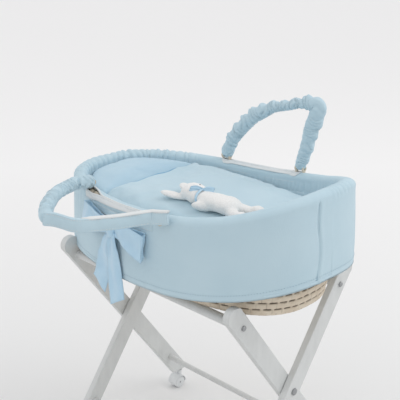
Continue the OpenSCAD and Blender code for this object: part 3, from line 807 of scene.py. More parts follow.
# the cover's rows from inside the rim to the hem, with the hand slots opened
def coverRows(t):
    s = lengthAt(t)
    half, slotAngle = slotOpen(t)
    size, valley = gatherShare(t), seamValley(t)
    rows, seamRow = [], None

    def rollRow(angle, lift):
        lean = wave1(s, 21, 0.05) * 0.006 * (angle - 1.6)
        fold = foldsAt(s + lean, 31, cover["pitch"])
        broad = wave2(s, angle * 0.02, 41, 0.045) * 0.0009
        r = basket["rollR"] + 0.0012 + 0.0021 * smooth(1.5, 0.1, angle) + lift + broad
        fine = foldsAt(s * 1.0 + lean * 1.5, 33, cover["pitch"] * 0.45)
        r = r + size * (fold - 0.75) + size * 0.22 * (fine - 0.6) + valley
        x, y = oval(basket["rimA"] + r * np.cos(angle), basket["rimB"] + r * np.cos(angle), t)
        return np.stack([x, y, rollZ(t) + r * np.sin(angle)], 1)

    for k in np.linspace(1, 0, 12)[:-1]:                 # inside face, down behind the bedding
        drop = 0.046 * k
        fold = foldsAt(s + wave1(s, 21, 0.05) * 0.006 * 1.5, 31, cover["pitch"])
        a, b = basket["rimA"] - 0.0161 - 0.10 * drop, basket["rimB"] - 0.0161 - 0.10 * drop
        inner = np.maximum(size, cover["inner"] * smooth(0.004, 0.014, drop))
        push = -inner * (fold - 0.75) * (1 - 0.4 * k) - valley * (1 - 0.6 * k)
        x, y = oval(a + push, b + push, t)
        rows.append(np.stack([x, y, rollZ(t) - drop], 1))
    for k in np.linspace(0, 1, 16):                      # inside edge up to the slot's inner lip
        a = mix(math.radians(176), slotAngle + half, k)
        rows.append(rollRow(a, 0.0012 * smooth(0.8, 1, k) * (half > 0.01)))
    seamRow = len(rows)
    for k in np.linspace(0, 1, 12):                      # outer lip down to the side of the roll
        a = mix(slotAngle - half, 0.0, k)
        rows.append(rollRow(a, 0.0012 * smooth(0.2, 0, k) * (half > 0.01)))
    depth = rollZ(t) - hemZ(t)
    x0 = oval(basket["rimA"], basket["rimB"], t)[0]
    for k in np.linspace(0, 1, 34)[1:]:                  # skirt
        down = depth * k
        fade = np.exp(-(down / (0.030 + 0.022 * (1 + wave1(s, 51, 0.03)))) ** 1.5)
        fold = foldsAt(s + wave1(s, 21, 0.05) * 0.006 * (-1.6) + down * 0.05, 31, cover["pitch"])
        drape = 0.0016 * np.sin(s / 0.085 + 1.3 * wave1(s, 61, 0.25)) * smooth(0.02, 0.16, down)
        drape = drape + 0.0007 * wave2(s, down, 71, 0.06)
        a = mix(basket["rimA"] + 0.0182, basket["hemA"], k) + 0.001 * math.sin(math.pi * k)
        b = mix(basket["rimB"] + 0.0182, basket["hemB"], k) + 0.001 * math.sin(math.pi * k)
        push = size * (fold - 0.75) * fade * smooth(0.30, 0.20, x0) + drape + valley * fade
        for degrees in cover["skirtSeams"]:
            off = s - lengthAt(np.array([math.radians(degrees % 360)])) + 0.004 * np.sin(down * 38)
            push = push - 0.0034 * np.exp(-(off / 0.0026) ** 2)
            push = push + 0.0012 * np.exp(-((off - 0.008) / 0.005) ** 2)
        x, y = oval(a + push, b + push, t)
        rows.append(np.stack([x, y, mix(rollZ(t), hemZ(t), k)], 1))
    # turned hem
    lift = 0.010
    for k in (0.4, 1.0):
        a, b = basket["hemA"] - 0.0022, basket["hemB"] - 0.0022
        x, y = oval(a, b, t)
        rows.append(np.stack([x, y, hemZ(t) + lift * k], 1))
    return rows, seamRow, half


def outerCover():
    t = evenT(cover["stations"])
    rows, seamRow, half = coverRows(t)
    n = len(t)
    points = np.vstack(rows)
    points[(len(rows) - 1 - 36) * n:] = points[(len(rows) - 1 - 36) * n:]
    faces = []
    faces += gridFaces(seamRow, n)
    faces += gridFaces(len(rows) - seamRow, n, True, seamRow * n)
    obj = newPiece("outerCover", points, faces, blueCotton, "basket", flip=True)
    weld(obj, 2e-5)
    thicken(obj, cover["thickness"], -1)
    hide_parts("skirt", "rim_roll")
    return rows, seamRow, half, t


coverLines, lipRow, slotHalf, coverT = outerCover()


# batting under the cover, between it and the plaited border
def rimPad():
    t = evenT(240)
    pts = []
    rOut, rIn = basket["rollR"] - 0.0022, basket["borderR"] + 0.0004
    for group in (np.radians([-30, 0, 18, 30]), np.radians([112, 125, 150, 180, 200, 215])):
        for r, angles in ((rOut, group), (rIn, group[::-1])):
            for a in angles:
                x, y = oval(basket["rimA"] + r * math.cos(a), basket["rimB"] + r * math.cos(a), t)
                pts.append(np.stack([x, y, rollZ(t) + r * math.sin(a)], 1))
    points = np.vstack(pts)
    faces = gridFaces(8, 240, True, 0, True) + gridFaces(12, 240, True, 8 * 240, True)
    obj = newPiece("rimPad", points, faces, coverFoam, "basket")
    return obj


rimPad()

# white binding along both lips of each hand slot
binding = {"r": 0.0021}


def lipBindings():
    y = oval(basket["rimA"], basket["rimB"], coverT)[1]
    for side, name in ((-1, "near"), (1, "far")):
        pick = np.where((slotHalf > 0.004) & (y * side > 0))[0]
        loop = np.vstack([coverLines[lipRow - 1][pick], coverLines[lipRow][pick][::-1]])
        sm = even(loop, 0.004, closed=True)[0]
        for _ in range(3):
            sm = (np.roll(sm, 1, 0) + 2 * sm + np.roll(sm, -1, 0)) / 4
        sm[:, 2] += 0.0004
        obj = tube(name + "SlotBinding", sm, lambda i: ringOf(binding["r"], 10), whiteCotton, "basket",
                   closed=True)


lipBindings()


# the cover's white lining, folded out along the lips of the slots
def slotLinings():
    x, y = oval(basket["rimA"], basket["rimB"], coverT)
    for name, side, x0, x1, wide0, wide1, outer in (("nearLining", -1, -0.205, 0.070, 0.0150, 0.0070, True),
                                                    ("farLining", 1, -0.128, 0.150, 0.0100, 0.0115, False)):
        pick = np.where((x > x0) & (x < x1) & (y * side > 0))[0]
        if x[pick[0]] > x[pick[-1]]:
            pick = pick[::-1]
        t, px = coverT[pick], x[pick]
        half, angle = slotOpen(t)
        start = angle - half if outer else angle + half
        wide = mix(wide0, wide1, (px - x0) / (x1 - x0)) * smooth(0, 0.012, px - x0) * smooth(0, 0.012,
            x1 - px)
        rows = []
        for k in np.linspace(0, 1, 7):
            a = start + (-1 if outer else 1) * wide * k / 0.017
            r = basket["rollR"] + 0.0012 + 0.0021 * smooth(1.5, 0.1, a) + 0.0014 + 0.0004 * wave1(px, 91,
                0.012)
            rx, ry = oval(basket["rimA"] + r * np.cos(a), basket["rimB"] + r * np.cos(a), t)
            rows.append(np.stack([rx, ry, rollZ(t) + r * np.sin(a)], 1))
        obj = newPiece(name, np.vstack(rows), gridFaces(len(rows), len(t), False), whiteCotton, "basket",
                       flip=outer == (side < 0))
        thicken(obj, 0.0010, 0)


slotLinings()


# rows of stitches: short rounded dashes along a line
def stitchRow(name, path, finish, body, stitch=0.0042, gap=0.0026, r=0.00055, centred=True):
    line, at = even(path, 0.001)
    total = at[-1]
    pts, faces = [], []
    pos = gap
    while pos + stitch < total:
        seg = np.stack([np.interp(np.linspace(pos, pos + stitch, 5), at, line[:, k]) for k in range(3)], 1)
        d = headings(seg)
        up = np.tile([0.0, 0.0, 1.0], (5, 1))
        side = np.cross(d, up)
        side /= np.maximum(np.linalg.norm(side, axis=1, keepdims=True), 1e-9)
        up = np.cross(side, d)
        start = len(pts) * 6
        for i, w in enumerate((0.35, 0.9, 1, 0.9, 0.35)):
            c = ringOf(r * w, 6)
            pts.append(seg[i] + side[i] * c[:, :1] + up[i] * c[:, 1:2])
        faces += [f[::-1] for f in gridFaces(5, 6, True, start)]
        faces.append(list(range(start, start + 6)))
        faces.append(list(range(start + 24, start + 30))[::-1])
        pos += stitch + gap
    obj = newPiece(name, np.vstack(pts), faces, finish, body, centred)
    return obj


def hemStitches():
    row = len(coverLines) - 3 - 3
    inner = coverLines[row]
    outward = inner.copy()
    r = np.hypot(inner[:, 0], inner[:, 1])[:, None]
    outward[:, :2] += inner[:, :2] / r * 0.0007
    obj = stitchRow("hemStitches", np.vstack([outward, outward[:1]]), threads["blue"], "basket")
    return obj


hemStitches()

# upright seams of the cover, each a narrow raised fold
seams = {"r": 0.0010}


def coverSeams():
    made = []
    for degrees in cover["skirtSeams"]:
        i = int(np.argmin(np.abs(coverT - math.radians(degrees % 360))))
        line = np.array([coverLines[r][i] for r in range(34, len(coverLines) - 2)])
        path = even(line, 0.005)[0]
        obj = tube("coverSeam%d" % len(made), path, lambda i: ringOf(seams["r"], 8) * [0.8, 0.6],
                   blueCotton, "basket",
                   normal=[1.0, 0.0, 0.0])
        made.append(obj)
    obj = joined("coverSeams", made, "basket")


coverSeams()
print("cover hung")

# padded liner inside the basket
liner = {"gather": 0.0016, "pitch": 0.0125, "stations": 900}


# half sizes of the basket's wall at a share of its height, moved in by some inset
def leanedTo(share, inset):
    return (mix(basket["baseA"], basket["rimA"] + 0.004, share) - inset,
            mix(basket["baseB"], basket["rimB"] + 0.004, share) - inset)


def paddedLiner():
    t = evenT(liner["stations"])
    s = lengthAt(t)
    topZ = rollZ(t) - 0.030
    fold = foldsAt(s, 77, liner["pitch"])
    pts = []
    inset = 0.0083 + basket["liner"] + 0.0012
    n = 30
    for k in np.linspace(0, 1, n):                       # inner face from the bed up
        z = mix(shelfZ + 0.002, topZ, k)
        lean = (z - shelfZ) / (rollZ(t) - basket["borderR"] - 0.0003 - shelfZ)
        a, b = leanedTo(lean, inset)
        size = liner["gather"] * (0.35 + 0.65 * smooth(0.35, 1.0, k)) * (0.7 + 0.5 * wave1(s, 81, 0.11))
        soft = 0.0012 * wave2(s, z, 83, 0.05)
        push = -(size * (fold - 0.6) + soft)
        if k > 0.97:
            push = push * 0.5 + 0.001
        x, y = oval(a + push, b + push, t)
        pts.append(np.stack([x, y, z + up0(t)], 1))
    for k in np.linspace(1, 0, 10):                      # back face against the weave
        z = mix(shelfZ + 0.0006, rollZ(t) - 0.0305, k)
        lean = (z - shelfZ) / (rollZ(t) - basket["borderR"] - 0.0003 - shelfZ)
        a, b = leanedTo(lean, 0.0090)
        x, y = oval(a, b, t)
        pts.append(np.stack([x, y, z], 1))
    obj = newPiece("paddedLiner", np.vstack(pts), gridFaces(len(pts), len(t), True, 0, True), blueCotton,
                   "basket", flip=True)
    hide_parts("liner")
    return obj


def up0(t):
    return np.zeros(len(t))


paddedLiner()
print("liner padded")

# mattress
def foamMattress():
    low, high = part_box("mattress")
    a0 = (high.x - low.x) / 2 - 0.001
    b0 = a0 / (basket["baseA"] - 0.0186) * (basket["baseB"] - 0.0186)
    t = evenT(260)
    pts = []
    h = high.z - low.z
    for a in (0.02, 0.5, 0.9):
        x, y = oval(a0 * a, b0 * a, t)
        pts.append(np.stack([x, y, np.full(len(t), low.z + 0.0003)], 1))
    for f in np.linspace(0, 1, 13):
        r = 0.008 * (1 - (1 - min(1, min(f, 1 - f) * 5)) ** 2) ** 0.5
        x, y = oval(a0 - 0.008 + r, b0 - 0.008 + r, t)
        pts.append(np.stack([x, y, np.full(len(t), low.z + 0.0004 + (h - 0.0010) * f)], 1))
    for a in (0.9, 0.5, 0.02):
        x, y = oval(a0 * a, b0 * a, t)
        pts.append(np.stack([x, y, np.full(len(t), high.z - 0.0004)], 1))
    faces = closedFaces(len(pts), len(t))
    obj = newPiece("foamMattress", np.vstack(pts), faces, coverFoam, "basket")
    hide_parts("mattress")


foamMattress()

# coverlet and pillow
bedding = {
    "edgeX": -0.186, "edgeZ": 0.778, "crown": 0.026, "bedIn": 0.0186,
    "middle": 0.090, "puff": 0.006, "voxel": 0.0055,
}


# the liner's inside at height z, on one side of x0, as an evenly stepped closed line
def beddingOutline(keep, x0, z, slack):
    def sizes(t):
        share = (z - shelfZ) / (rollZ(t) - basket["borderR"] - 0.0003 - shelfZ)
        return leanedTo(share, bedding["bedIn"] + slack)
    a0 = float(sizes(np.array([math.pi]))[0][0])
    reach = math.acos(float(signPow(np.array([x0 / a0]), basket["power"] / 2)[0]))
    tt = np.linspace(-reach, reach, 500) if keep > 0 else np.linspace(reach, 2 * math.pi - reach, 500)
    a, b = sizes(tt)
    x, y = oval(a, b, tt)
    arc = np.stack([x, y, x * 0], 1)
    edge = np.linspace(arc[-1], arc[0], 60)[1:-1]
    loop = np.vstack([arc, edge])
    p = np.vstack([loop, loop[:1]])
    s = np.concatenate([[0], np.cumsum(np.linalg.norm(np.diff(p, axis=0), axis=1))])
    at = np.linspace(0, s[-1], 320, endpoint=False)
    return np.stack([np.interp(at, s, p[:, k]) for k in range(3)], 1)


# folds a light quilt takes: long soft drag lines, a few crossing them
def quiltFolds(x, y, seed):
    lines = wave2(x * 0.35 + y * 0.9, y * 0.35 - x * 0.25, seed, 0.032) * 0.0030
    lines = lines + wave2(x * 0.9 - y * 0.35, (y + x * 0.3) * 0.30, seed + 2, 0.024) * 0.0022
    ridge = 0.5 - np.abs(wave2(x * 0.5 + y * 0.7, y * 0.5 - x * 0.2, seed + 6, 0.060))
    return lines + ridge * 0.0055


def coverlet():
    c = np.array([bedding["middle"], 0, 0])
    x0, edgeZ = bedding["edgeX"] + 0.001, bedding["edgeZ"]
    pts = []
    for z, slack, k in ((0.690, 0.006, 1.0), (0.725, 0.004, 1.0), (0.752, 0.003, 1.0), (0.768, 0.003, 1.0)):
        p = beddingOutline(1, x0, z, slack)
        p[:, 2] = z
        pts.append(p)
    line = beddingOutline(1, x0, edgeZ, 0.003)
    head = smooth(x0 + 0.030, x0 + 0.001, line[:, 0]) * smooth(0.19, 0.15, np.abs(line[:, 1]))
    for k in (0.988, 0.955, 0.91, 0.86, 0.80, 0.73, 0.65, 0.56, 0.46, 0.36, 0.26, 0.16, 0.06):
        p = c + (line - c) * k
        rise = np.interp(k, [0.2, 0.5, 0.8, 0.995], [1, 0.87, 0.5, 0.0])
        p[:, 2] = edgeZ + (bedding["crown"] - 0.001) * rise + 0.0150 * head * smooth(0.80, 0.955, k)
        pts.append(p)
    faces = closedFaces(len(pts), len(line))
    obj = newPiece("quiltedCoverlet", np.vstack(pts), faces, blueCotton, "basket")
    stuff(obj, bedding["voxel"], 2.2, bedding["puff"])
    co = pointsOf(obj)
    x, y, z = co[:, 0], co[:, 1] - midY, co[:, 2]
    co[:, 2] += smooth(edgeZ - 0.016, edgeZ + 0.004, z) * quiltFolds(x, y, 101)
    co[:, 2] = np.minimum(co[:, 2], rimZ(np.full(len(x), math.pi)) + 0.006)
    setPoints(obj, co)
    relax(obj, 0.5, 1)
    subdivide(obj, 1)
    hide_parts("coverlet")
    return obj


def pillow():
    c = np.array([-0.272, 0, 0])
    x0, edgeZ = bedding["edgeX"] - 0.001, bedding["edgeZ"] - 0.004
    pts = []
    for z, slack in ((0.690, 0.006), (0.725, 0.004), (0.750, 0.004), (0.764, 0.004)):
        p = beddingOutline(-1, x0, z, slack)
        p[:, 2] = z
        pts.append(p)
    line = beddingOutline(-1, x0, edgeZ, 0.004)
    for k, up in ((0.985, -0.003), (0.95, 0.001), (0.89, 0.0085), (0.81, 0.0150), (0.70, 0.0185),
                  (0.57, 0.0205),
                  (0.42, 0.0220), (0.26, 0.0228), (0.10, 0.0230)):
        p = c + (line - c) * k
        p[:, 2] = edgeZ + up
        pts.append(p)
    faces = closedFaces(len(pts), len(line))
    obj = newPiece("softPillow", np.vstack(pts), faces, sheetCotton, "basket")
    stuff(obj, bedding["voxel"], 2.5, bedding["puff"])
    co = pointsOf(obj)
    co[:, 2] += smooth(edgeZ - 0.01, edgeZ + 0.006, co[:, 2]) * quiltFolds(co[:, 0], co[:, 1], 131) * 0.8
    setPoints(obj, co)
    relax(obj, 0.5, 1)
    subdivide(obj, 1)
    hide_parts("pillow")
    return obj


coverletPiece = coverlet()
pillow()
print("bedding made")


def topOf(obj):
    tree = BVHTree.FromObject(obj, bpy.context.evaluated_depsgraph_get())

    def find(x, y):
        hit = tree.ray_cast(Vector((x, y + midY, 2.0)), Vector((0, 0, -1)))
        return hit[0].z if hit[0] is not None else bedding["edgeZ"]
    return find


coverTop = topOf(coverletPiece)


# a thin darker tube on the crest of the coverlet's head edge, where it is turned down over the pillow: a
# painted shadow line of the turned edge
def coverletShadowLine():
    x = bedding["edgeX"] + 0.0135
    path = np.array([[x, y, coverTop(x, y) + 0.0006] for y in np.linspace(-0.125, 0.110, 70)])
    for _ in range(3):
        path[1:-1] = (path[:-2] + 2 * path[1:-1] + path[2:]) / 4
    obj = tube("coverletShadowLine", path, lambda i: ringOf(0.0019 * min(1, 0.3 + i / 14, 0.3 + (69 - i) / 14),
                                                      10), shadowLineCotton,
               "basket")


coverletShadowLine()

# handles
handles = {
    "rise": 0.014, "sideOut": 0.0269, "tilt": 4.0,
    "nearRoute": [[0, 0], [-4, 30], [9, 75], [46, 128], [92, 172], [140, 200], [193, 213], [240, 192],
                  [264, 148], [275, 102], [288, 54], [308, 24], [313, 11], [313.5, 0]],
    "farRoute": [[0, 0], [1.5, 12], [9, 33], [25, 58], [52, 84], [95, 119], [140, 147], [183, 164],
                 [221, 172], [268, 177], [309, 178], [322, 158], [311, 120], [297, 86], [275, 40],
                 [253.3, 12], [251.8, 0]],
    # how the soft covers really lie round those cores, as (along, up) in mm
    "nearSleeve": [[0, -3], [6, 20], [1, 43], [20, 76], [39, 105], [66, 136], [97, 160], [128, 183],
                   [156, 199],
                   [186, 214], [202, 217]],
    "nearStrap": [[201, 228], [213, 211], [231, 199], [266, 178], [279, 128], [288, 90], [297, 50], [305, 26],
                  [311, 12]],
    "nearTab": [[310, 12], [322, 6], [336, -1], [349, -7]],
    "farSleeve": [[0, -2], [6, 13], [16, 30], [29, 51], [48, 72], [76, 98], [106, 121], [141, 138],
                  [176, 152],
                  [215, 159], [255, 169], [287, 171], [306, 167], [307, 152], [302, 136], [293, 118], [286,
                      101],
                  [278, 73], [265, 38], [255, 15], [251, -2]],
    "bend": (0.004, 0.050), "strapTall": 0.033, "strapThick": 0.0125,
}


def crestPt(x, side, out, lift):
    t = tAtX(x, side)
    y = oval(basket["rimA"], basket["rimB"], t)[1]
    return np.array([x, y + side * out, float(rimZ(t)) + lift])


def unit(v):
    return v / np.linalg.norm(v)


def loopPath(route, start, end, h):
    s = unit(end - start)
    h = unit(h - s * np.dot(h, s))
    pts = np.array([start + s * p[0] / 1000 + h * p[1] / 1000 for p in route])
    return curve(pts, 3), s, h, np.cross(s, h)


nearStart, nearEnd = crestPt(-0.212, -1, 0, handles["rise"]), crestPt(0.098, -1, handles["sideOut"], -0.006)
farStart, farEnd = crestPt(-0.112, 1, 0, handles["rise"]), crestPt(0.139, 1, 0, handles["rise"])
tilt = math.radians(handles["tilt"])
nearQ, nearS, nearH, nearN = loopPath(handles["nearRoute"], nearStart, nearEnd,
                                      np.array([0, -math.cos(tilt), math.sin(tilt)]))
farQ, farS, farH, farN = loopPath(handles["farRoute"], farStart, farEnd, np.array([0.0, 0, 1]))


def planePath(route, start, s, h, steps=4, lift=None):
    pts = []
    for i, p in enumerate(route):
        pts.append(start + s * p[0] / 1000 + h * p[1] / 1000 + np.array([0, 0,
            0 if lift is None else lift[i] / 1000]))
    return curve(pts, steps)


# cloth sewn to the basket at its hinge line: its placement is baked into its points
def bendsAtHinge(obj, handle, start, up, low, high):
    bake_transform(obj)


# gathered sleeve: cloth bunched along the cord, its folds running round it unevenly.
# wide and deep are its half sizes in the loop's plane and across it, gather how strongly it is bunched
def gatheredSleeve(name, path, normal, look, seed, body):
    line, at = even(path, 0.0015)
    for _ in range(3):
        line[1:-1] = (line[:-2] + 2 * line[1:-1] + line[2:]) / 4
    cols = 56
    ang = np.arange(cols) / cols * 2 * math.pi
    total = at[-1]
    kk = np.linspace(0, 1, len(look["wide"]))
    edges = np.random.default_rng(seed).uniform(0.45, 1.6, 900) * look["pitch"]
    knots = np.concatenate([[0], np.cumsum(edges)]) - 0.01

    def shape(i):
        l = at[i]
        g = float(np.interp(l / total, kk, look["gather"]))
        wide = float(np.interp(l / total, kk, look["wide"]))
        deep = float(np.interp(l / total, kk, look["deep"]))
        swing = (wave2(ang * 0.02 + seed, np.full(cols, l), seed + 1, 0.020) * 1.3
                 + 0.9 * np.sin(ang + l * 70 + seed)) * 0.0060
        phase = np.interp(l + swing, knots, np.arange(len(knots)))
        fold = np.abs(np.sin(math.pi * phase)) ** 0.5
        fine = np.abs(np.sin(math.pi * 2.3 * phase + 2 * np.sin(ang))) ** 0.7
        lobe = 0.5 - 0.5 * math.cos(2 * math.pi * l / 0.036 + seed)
        outer = np.maximum(0, -np.cos(ang))
        swell = 1 + look["scallop"] * outer * lobe * min(1, g * 1.3)
        crease = wave2(ang * 0.012, np.full(cols, l * 0.25), seed + 9, 0.010) * 0.0012 * (1 - g)
        push = g * (0.0068 * (fold - 0.74) + 0.0018 * (fine - 0.6)) + crease
        end = min(l, total - l)
        close = mix(0.70, 1.0, smooth(0, 0.008, end))
        return np.stack([(wide * swell + push) * close * np.cos(ang), (deep + push) * close * np.sin(ang)], 1)

    obj = tube(name, line, shape, blueCotton, None, normal=normal)
    bendsAtHinge(obj, body, line[0], nearH if body == "near_handle" else farH, *handles["bend"])
    return obj


nearSleeveLook = {"pitch": 0.0120, "scallop": 0.10,
                  "gather": [0.8, 1.0, 1.0, 1.0, 0.95, 1.0, 1.0, 0.8, 0.5],
                  "wide": [0.0165, 0.0150, 0.0140, 0.0140, 0.0150, 0.0150, 0.0150, 0.0150, 0.0135],
                  "deep": [0.0165, 0.0155, 0.0150, 0.0150, 0.0150, 0.0155, 0.0155, 0.0150, 0.0140]}
farSleeveLook = {"pitch": 0.0125, "scallop": 0.46,
                 "gather": [0.6, 0.8, 0.85, 0.85, 0.9, 0.95, 1.0, 0.9, 0.45, 0.35, 0.4, 0.4, 0.4],
                 "wide": [0.0150, 0.0160, 0.0165, 0.0170, 0.0165, 0.0125, 0.0100, 0.0110, 0.0205, 0.0200,
                          0.0180, 0.0165, 0.0130],
                 "deep": [0.0150, 0.0150, 0.0150, 0.0150, 0.0140, 0.0120, 0.0105, 0.0110, 0.0150, 0.0160,
                          0.0160, 0.0150, 0.0145]}
nearPath = planePath(handles["nearSleeve"], nearStart, nearS, nearH)
farPath = planePath(handles["farSleeve"], farStart, farS, farH)
nearSleeve = gatheredSleeve("nearSleeve", nearPath, nearN, nearSleeveLook, 201, "near_handle")
farSleeve = gatheredSleeve("farSleeve", farPath, farN, farSleeveLook, 301, "far_handle")
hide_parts("near_handle_sleeve", "near_handle_core")
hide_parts("far_handle_sleeve", "far_handle_core")


# flat end of the near handle: a turned strap with a white lining showing along its top
def strapPiece(name, path, body, endSmall, whiteFrom):
    line, at = even(path, 0.0025)
    for _ in range(2):
        line[1:-1] = (line[:-2] + 2 * line[1:-1] + line[2:]) / 4
    total = at[-1]
    tall, thick = handles["strapTall"] / 2, handles["strapThick"] / 2
    a = np.arange(40) / 40 * 2 * math.pi

    def shape(i):
        low = min(at[i] * endSmall[0] + (1 - endSmall[0]), (total - at[i]) * endSmall[1] + (1 - endSmall[1]))
        w = mix(0.86, 1.0, smooth(0, 0.004, low))
        puff = 1 + 0.14 * wave1(np.array([at[i]]), 401, 0.024)[0]
        c = signPow(np.cos(a), 0.62) * thick * w * puff
        d = signPow(np.sin(a), 0.34) * tall * w
        seam = 1 - 0.20 * np.exp(-((np.abs(d) - tall * 0.74) / 0.0014) ** 2)
        soft = 0.0007 * wave2(np.full(40, at[i]), d, 403, 0.016)
        return np.stack([c * seam + soft, d + 0.0006 * wave1(np.array([at[i]]), 405, 0.03)[0]], 1)

    moves = body == "near_handle"
    rides = None if moves else body
    obj = tube(name, line, shape, blueCotton, rides, normal=nearN)
    made = [obj]
    up = unit(nearN) * (1 if nearN[2] > 0 else -1)
    first = int(len(line) * whiteFrom)
    rim = (line + up * (tall - 0.0006))[first:]
    grow = np.clip(np.arange(len(rim)) / 8.0, 0.15 if first else 1, 1)
    edge = tube(name + "Lining", rim, lambda i: ringOf(1, 18) * [0.0070 * grow[i],
                                                                 0.0034 * (0.6 + 0.4 * grow[i])], whiteCotton,
                rides, normal=nearN)
    made.append(edge)
    out = np.cross(headings(line), np.tile(nearN, (len(line), 1)))
    for j, off in enumerate((0.74, -0.74)):
        for face in (-1, 1):
            run = line + up * tall * off + out * face * (thick * 0.86)
            st = stitchRow("%sStitch%d%s" % (name, j, "ab"[face > 0]), run[2:-2], threads["white"], rides)
            made.append(st)
    for piece in made if moves else []:
        bendsAtHinge(piece, body, nearEnd, nearH, 0.012, 0.062)
    return obj


strapPath = planePath(handles["nearStrap"], nearStart, nearS, nearH, 4, [2, 1, 0, 0, 0, 1, 4, 7, 9])
tabPath = planePath(handles["nearTab"], nearStart, nearS, nearH, 4, [9, 11, 14, 17])
nearStrap = strapPiece("nearStrap", strapPath, "near_handle", (1, 0), 0.36)
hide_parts("near_handle_strap")
nearTab = strapPiece("strapTab", tabPath, "basket", (0, 1), 0.0)

# the cores' bare ends, wound with palm
rope = {"r": 0.0062}


def ropeEnd(name, path, body, normal):
    line, at = even(path, 0.0012)
    cols = 24
    ang = np.arange(cols) / cols * 2 * math.pi
    paintedGapShade = []

    def shape(i):
        turn = at[i] / 0.011 + ang / (2 * math.pi) * 2
        f = turn - np.floor(turn)
        strand = np.sqrt(np.maximum(0, 1 - (2 * f - 1) ** 2))
        # painted shade in the hollows between the wound strands
        paintedGapShade.append(np.clip(1.1 - 1.7 * strand, 0, 0.85))
        return np.stack([(rope["r"] - 0.0012 + 0.0012 * strand) * np.cos(ang),
                         (rope["r"] - 0.0012 + 0.0012 * strand) * np.sin(ang)], 1)

    obj = tube(name, line, shape, wovenCane, body, normal=normal)
    paintGapShade(obj, np.concatenate(paintedGapShade))
    return obj


for label, q, normal, body in (("near", nearQ, nearN, "near_handle"), ("far", farQ, farN, "far_handle")):
    ropeEnd(label + "RopeHead", q[0:4], body, normal)
    ropeEnd(label + "RopeFoot", q[-4:], body, normal)
print("handles gathered")


# facings under the hand slots
facing = {"tall": 0.020, "thick": 0.0012}


def slotFacings():
    for name, side, x0, x1, out in (("nearFacing", -1, -0.205, 0.070, 0.0190),
                                    ("farFacing", 1, -0.138, 0.138, -0.0158)):
        xs = np.linspace(x0, x1, 90)
        t = np.array([tAtX(v, side) for v in xs])
        rows = []
        for k in np.linspace(0, 1, 10):
            drop = -0.004 - facing["tall"] * k
            o = out - (0.0004 * math.sin(math.pi * k) if side < 0 else -0.0010 * math.sin(math.pi * k))
            x, y = oval(basket["rimA"] + o, basket["rimB"] + o, t)
            soft = 0.0005 * wave1(lengthAt(t), 501, 0.03)
            rows.append(np.stack([x, y + soft * side, rollZ(t) + drop], 1))
        obj = newPiece(name, np.vstack(rows), gridFaces(len(rows), len(t), False), blueCotton, "basket",
                       flip=side > 0)
        thicken(obj, facing["thick"], 0)
        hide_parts("near_slot_facing" if side < 0 else "far_slot_facing")
        lift = 0.0012 if side < 0 else -0.0012
        edge = []
        for k in (1, 8):
            e = rows[k].copy()
            e[:, 1] += side * lift
            edge.append(e)
        st = stitchRow(name + "Stitches", np.vstack([edge[0], edge[1][::-1]]), threads["white"], "basket")


slotFacings()

# ribbon bow
bow = {"x": -0.065, "z": 0.742, "thick": 0.0009}


def skirtY(x, z):
    t = tAtX(np.clip(x, -0.385, 0.385), -1)
    k = np.clip((z - hemZ(t)) / (rollZ(t) - hemZ(t)), 0, 1)
    a, b = mix(basket["hemA"], basket["rimA"] + 0.0182, k), mix(basket["hemB"], basket["rimB"] + 0.0182, k)
    u = np.clip(np.abs(x) / a, 0, 0.999)
    y = b * (1 - u ** basket["power"]) ** (1 / basket["power"]) * (1 + basket["egg"] * x / a)
    return -y


# a strip of ribbon: a line of (x, z, stand-off) with the ribbon's width and its edges' own waves
def ribbonStrip(name, line, width, across, seed=1, curl=0.0, slant=0.0):
    path, at = even(np.array(line, float), 0.003)
    n = len(path)
    k = at / at[-1]
    w = np.interp(k, np.linspace(0, 1, len(width)), width)
    ac = np.stack([np.interp(k, np.linspace(0, 1, len(across)), [a[j] for a in across]) for j in range(3)], 1)
    ac /= np.linalg.norm(ac, axis=1, keepdims=True)
    cols = 13
    rows = []
    d = headings(path)
    nrm = np.cross(d, ac)
    nrm /= np.maximum(np.linalg.norm(nrm, axis=1, keepdims=True), 1e-9)
    for j in range(cols):
        v = j / (cols - 1) * 2 - 1
        fold = np.sin(v * 3.2 + wave1(at, seed, 0.03) * 1.2) * curl * (1 - 0.4 * k)
        shift = path + ac * (w * v / 2)[:, None] + nrm * (fold + 0.0012 * wave1(at + v * 0.01, seed + 5,
            0.02))[:, None]
        shift += d * (slant * v * smooth(0.86, 1, k))[:, None]
        rows.append(shift)
    return newPiece(name, np.vstack(rows), gridFaces(cols, n, False), satinRibbon, "basket")


# out along the front, round the end, back behind
def loopLine(x0, z0, x1, z1, deep, up):
    k = np.linspace(0, 1, 16)
    front = np.stack([mix(x0, x1, k), deep * (0.35 + 0.65 * np.sin(math.pi * np.minimum(k * 0.62 + 0.06, 1))),
                      mix(z0, z1, k) + up * np.sin(math.pi * k)], 1)
    back = np.stack([mix(x1, x0, k), deep * (0.08 + 0.10 * np.sin(math.pi * k)),
                     mix(z1, z0, k) + up * np.sin(math.pi * k) * 0.6], 1)
    return np.vstack([front, back[1:]])


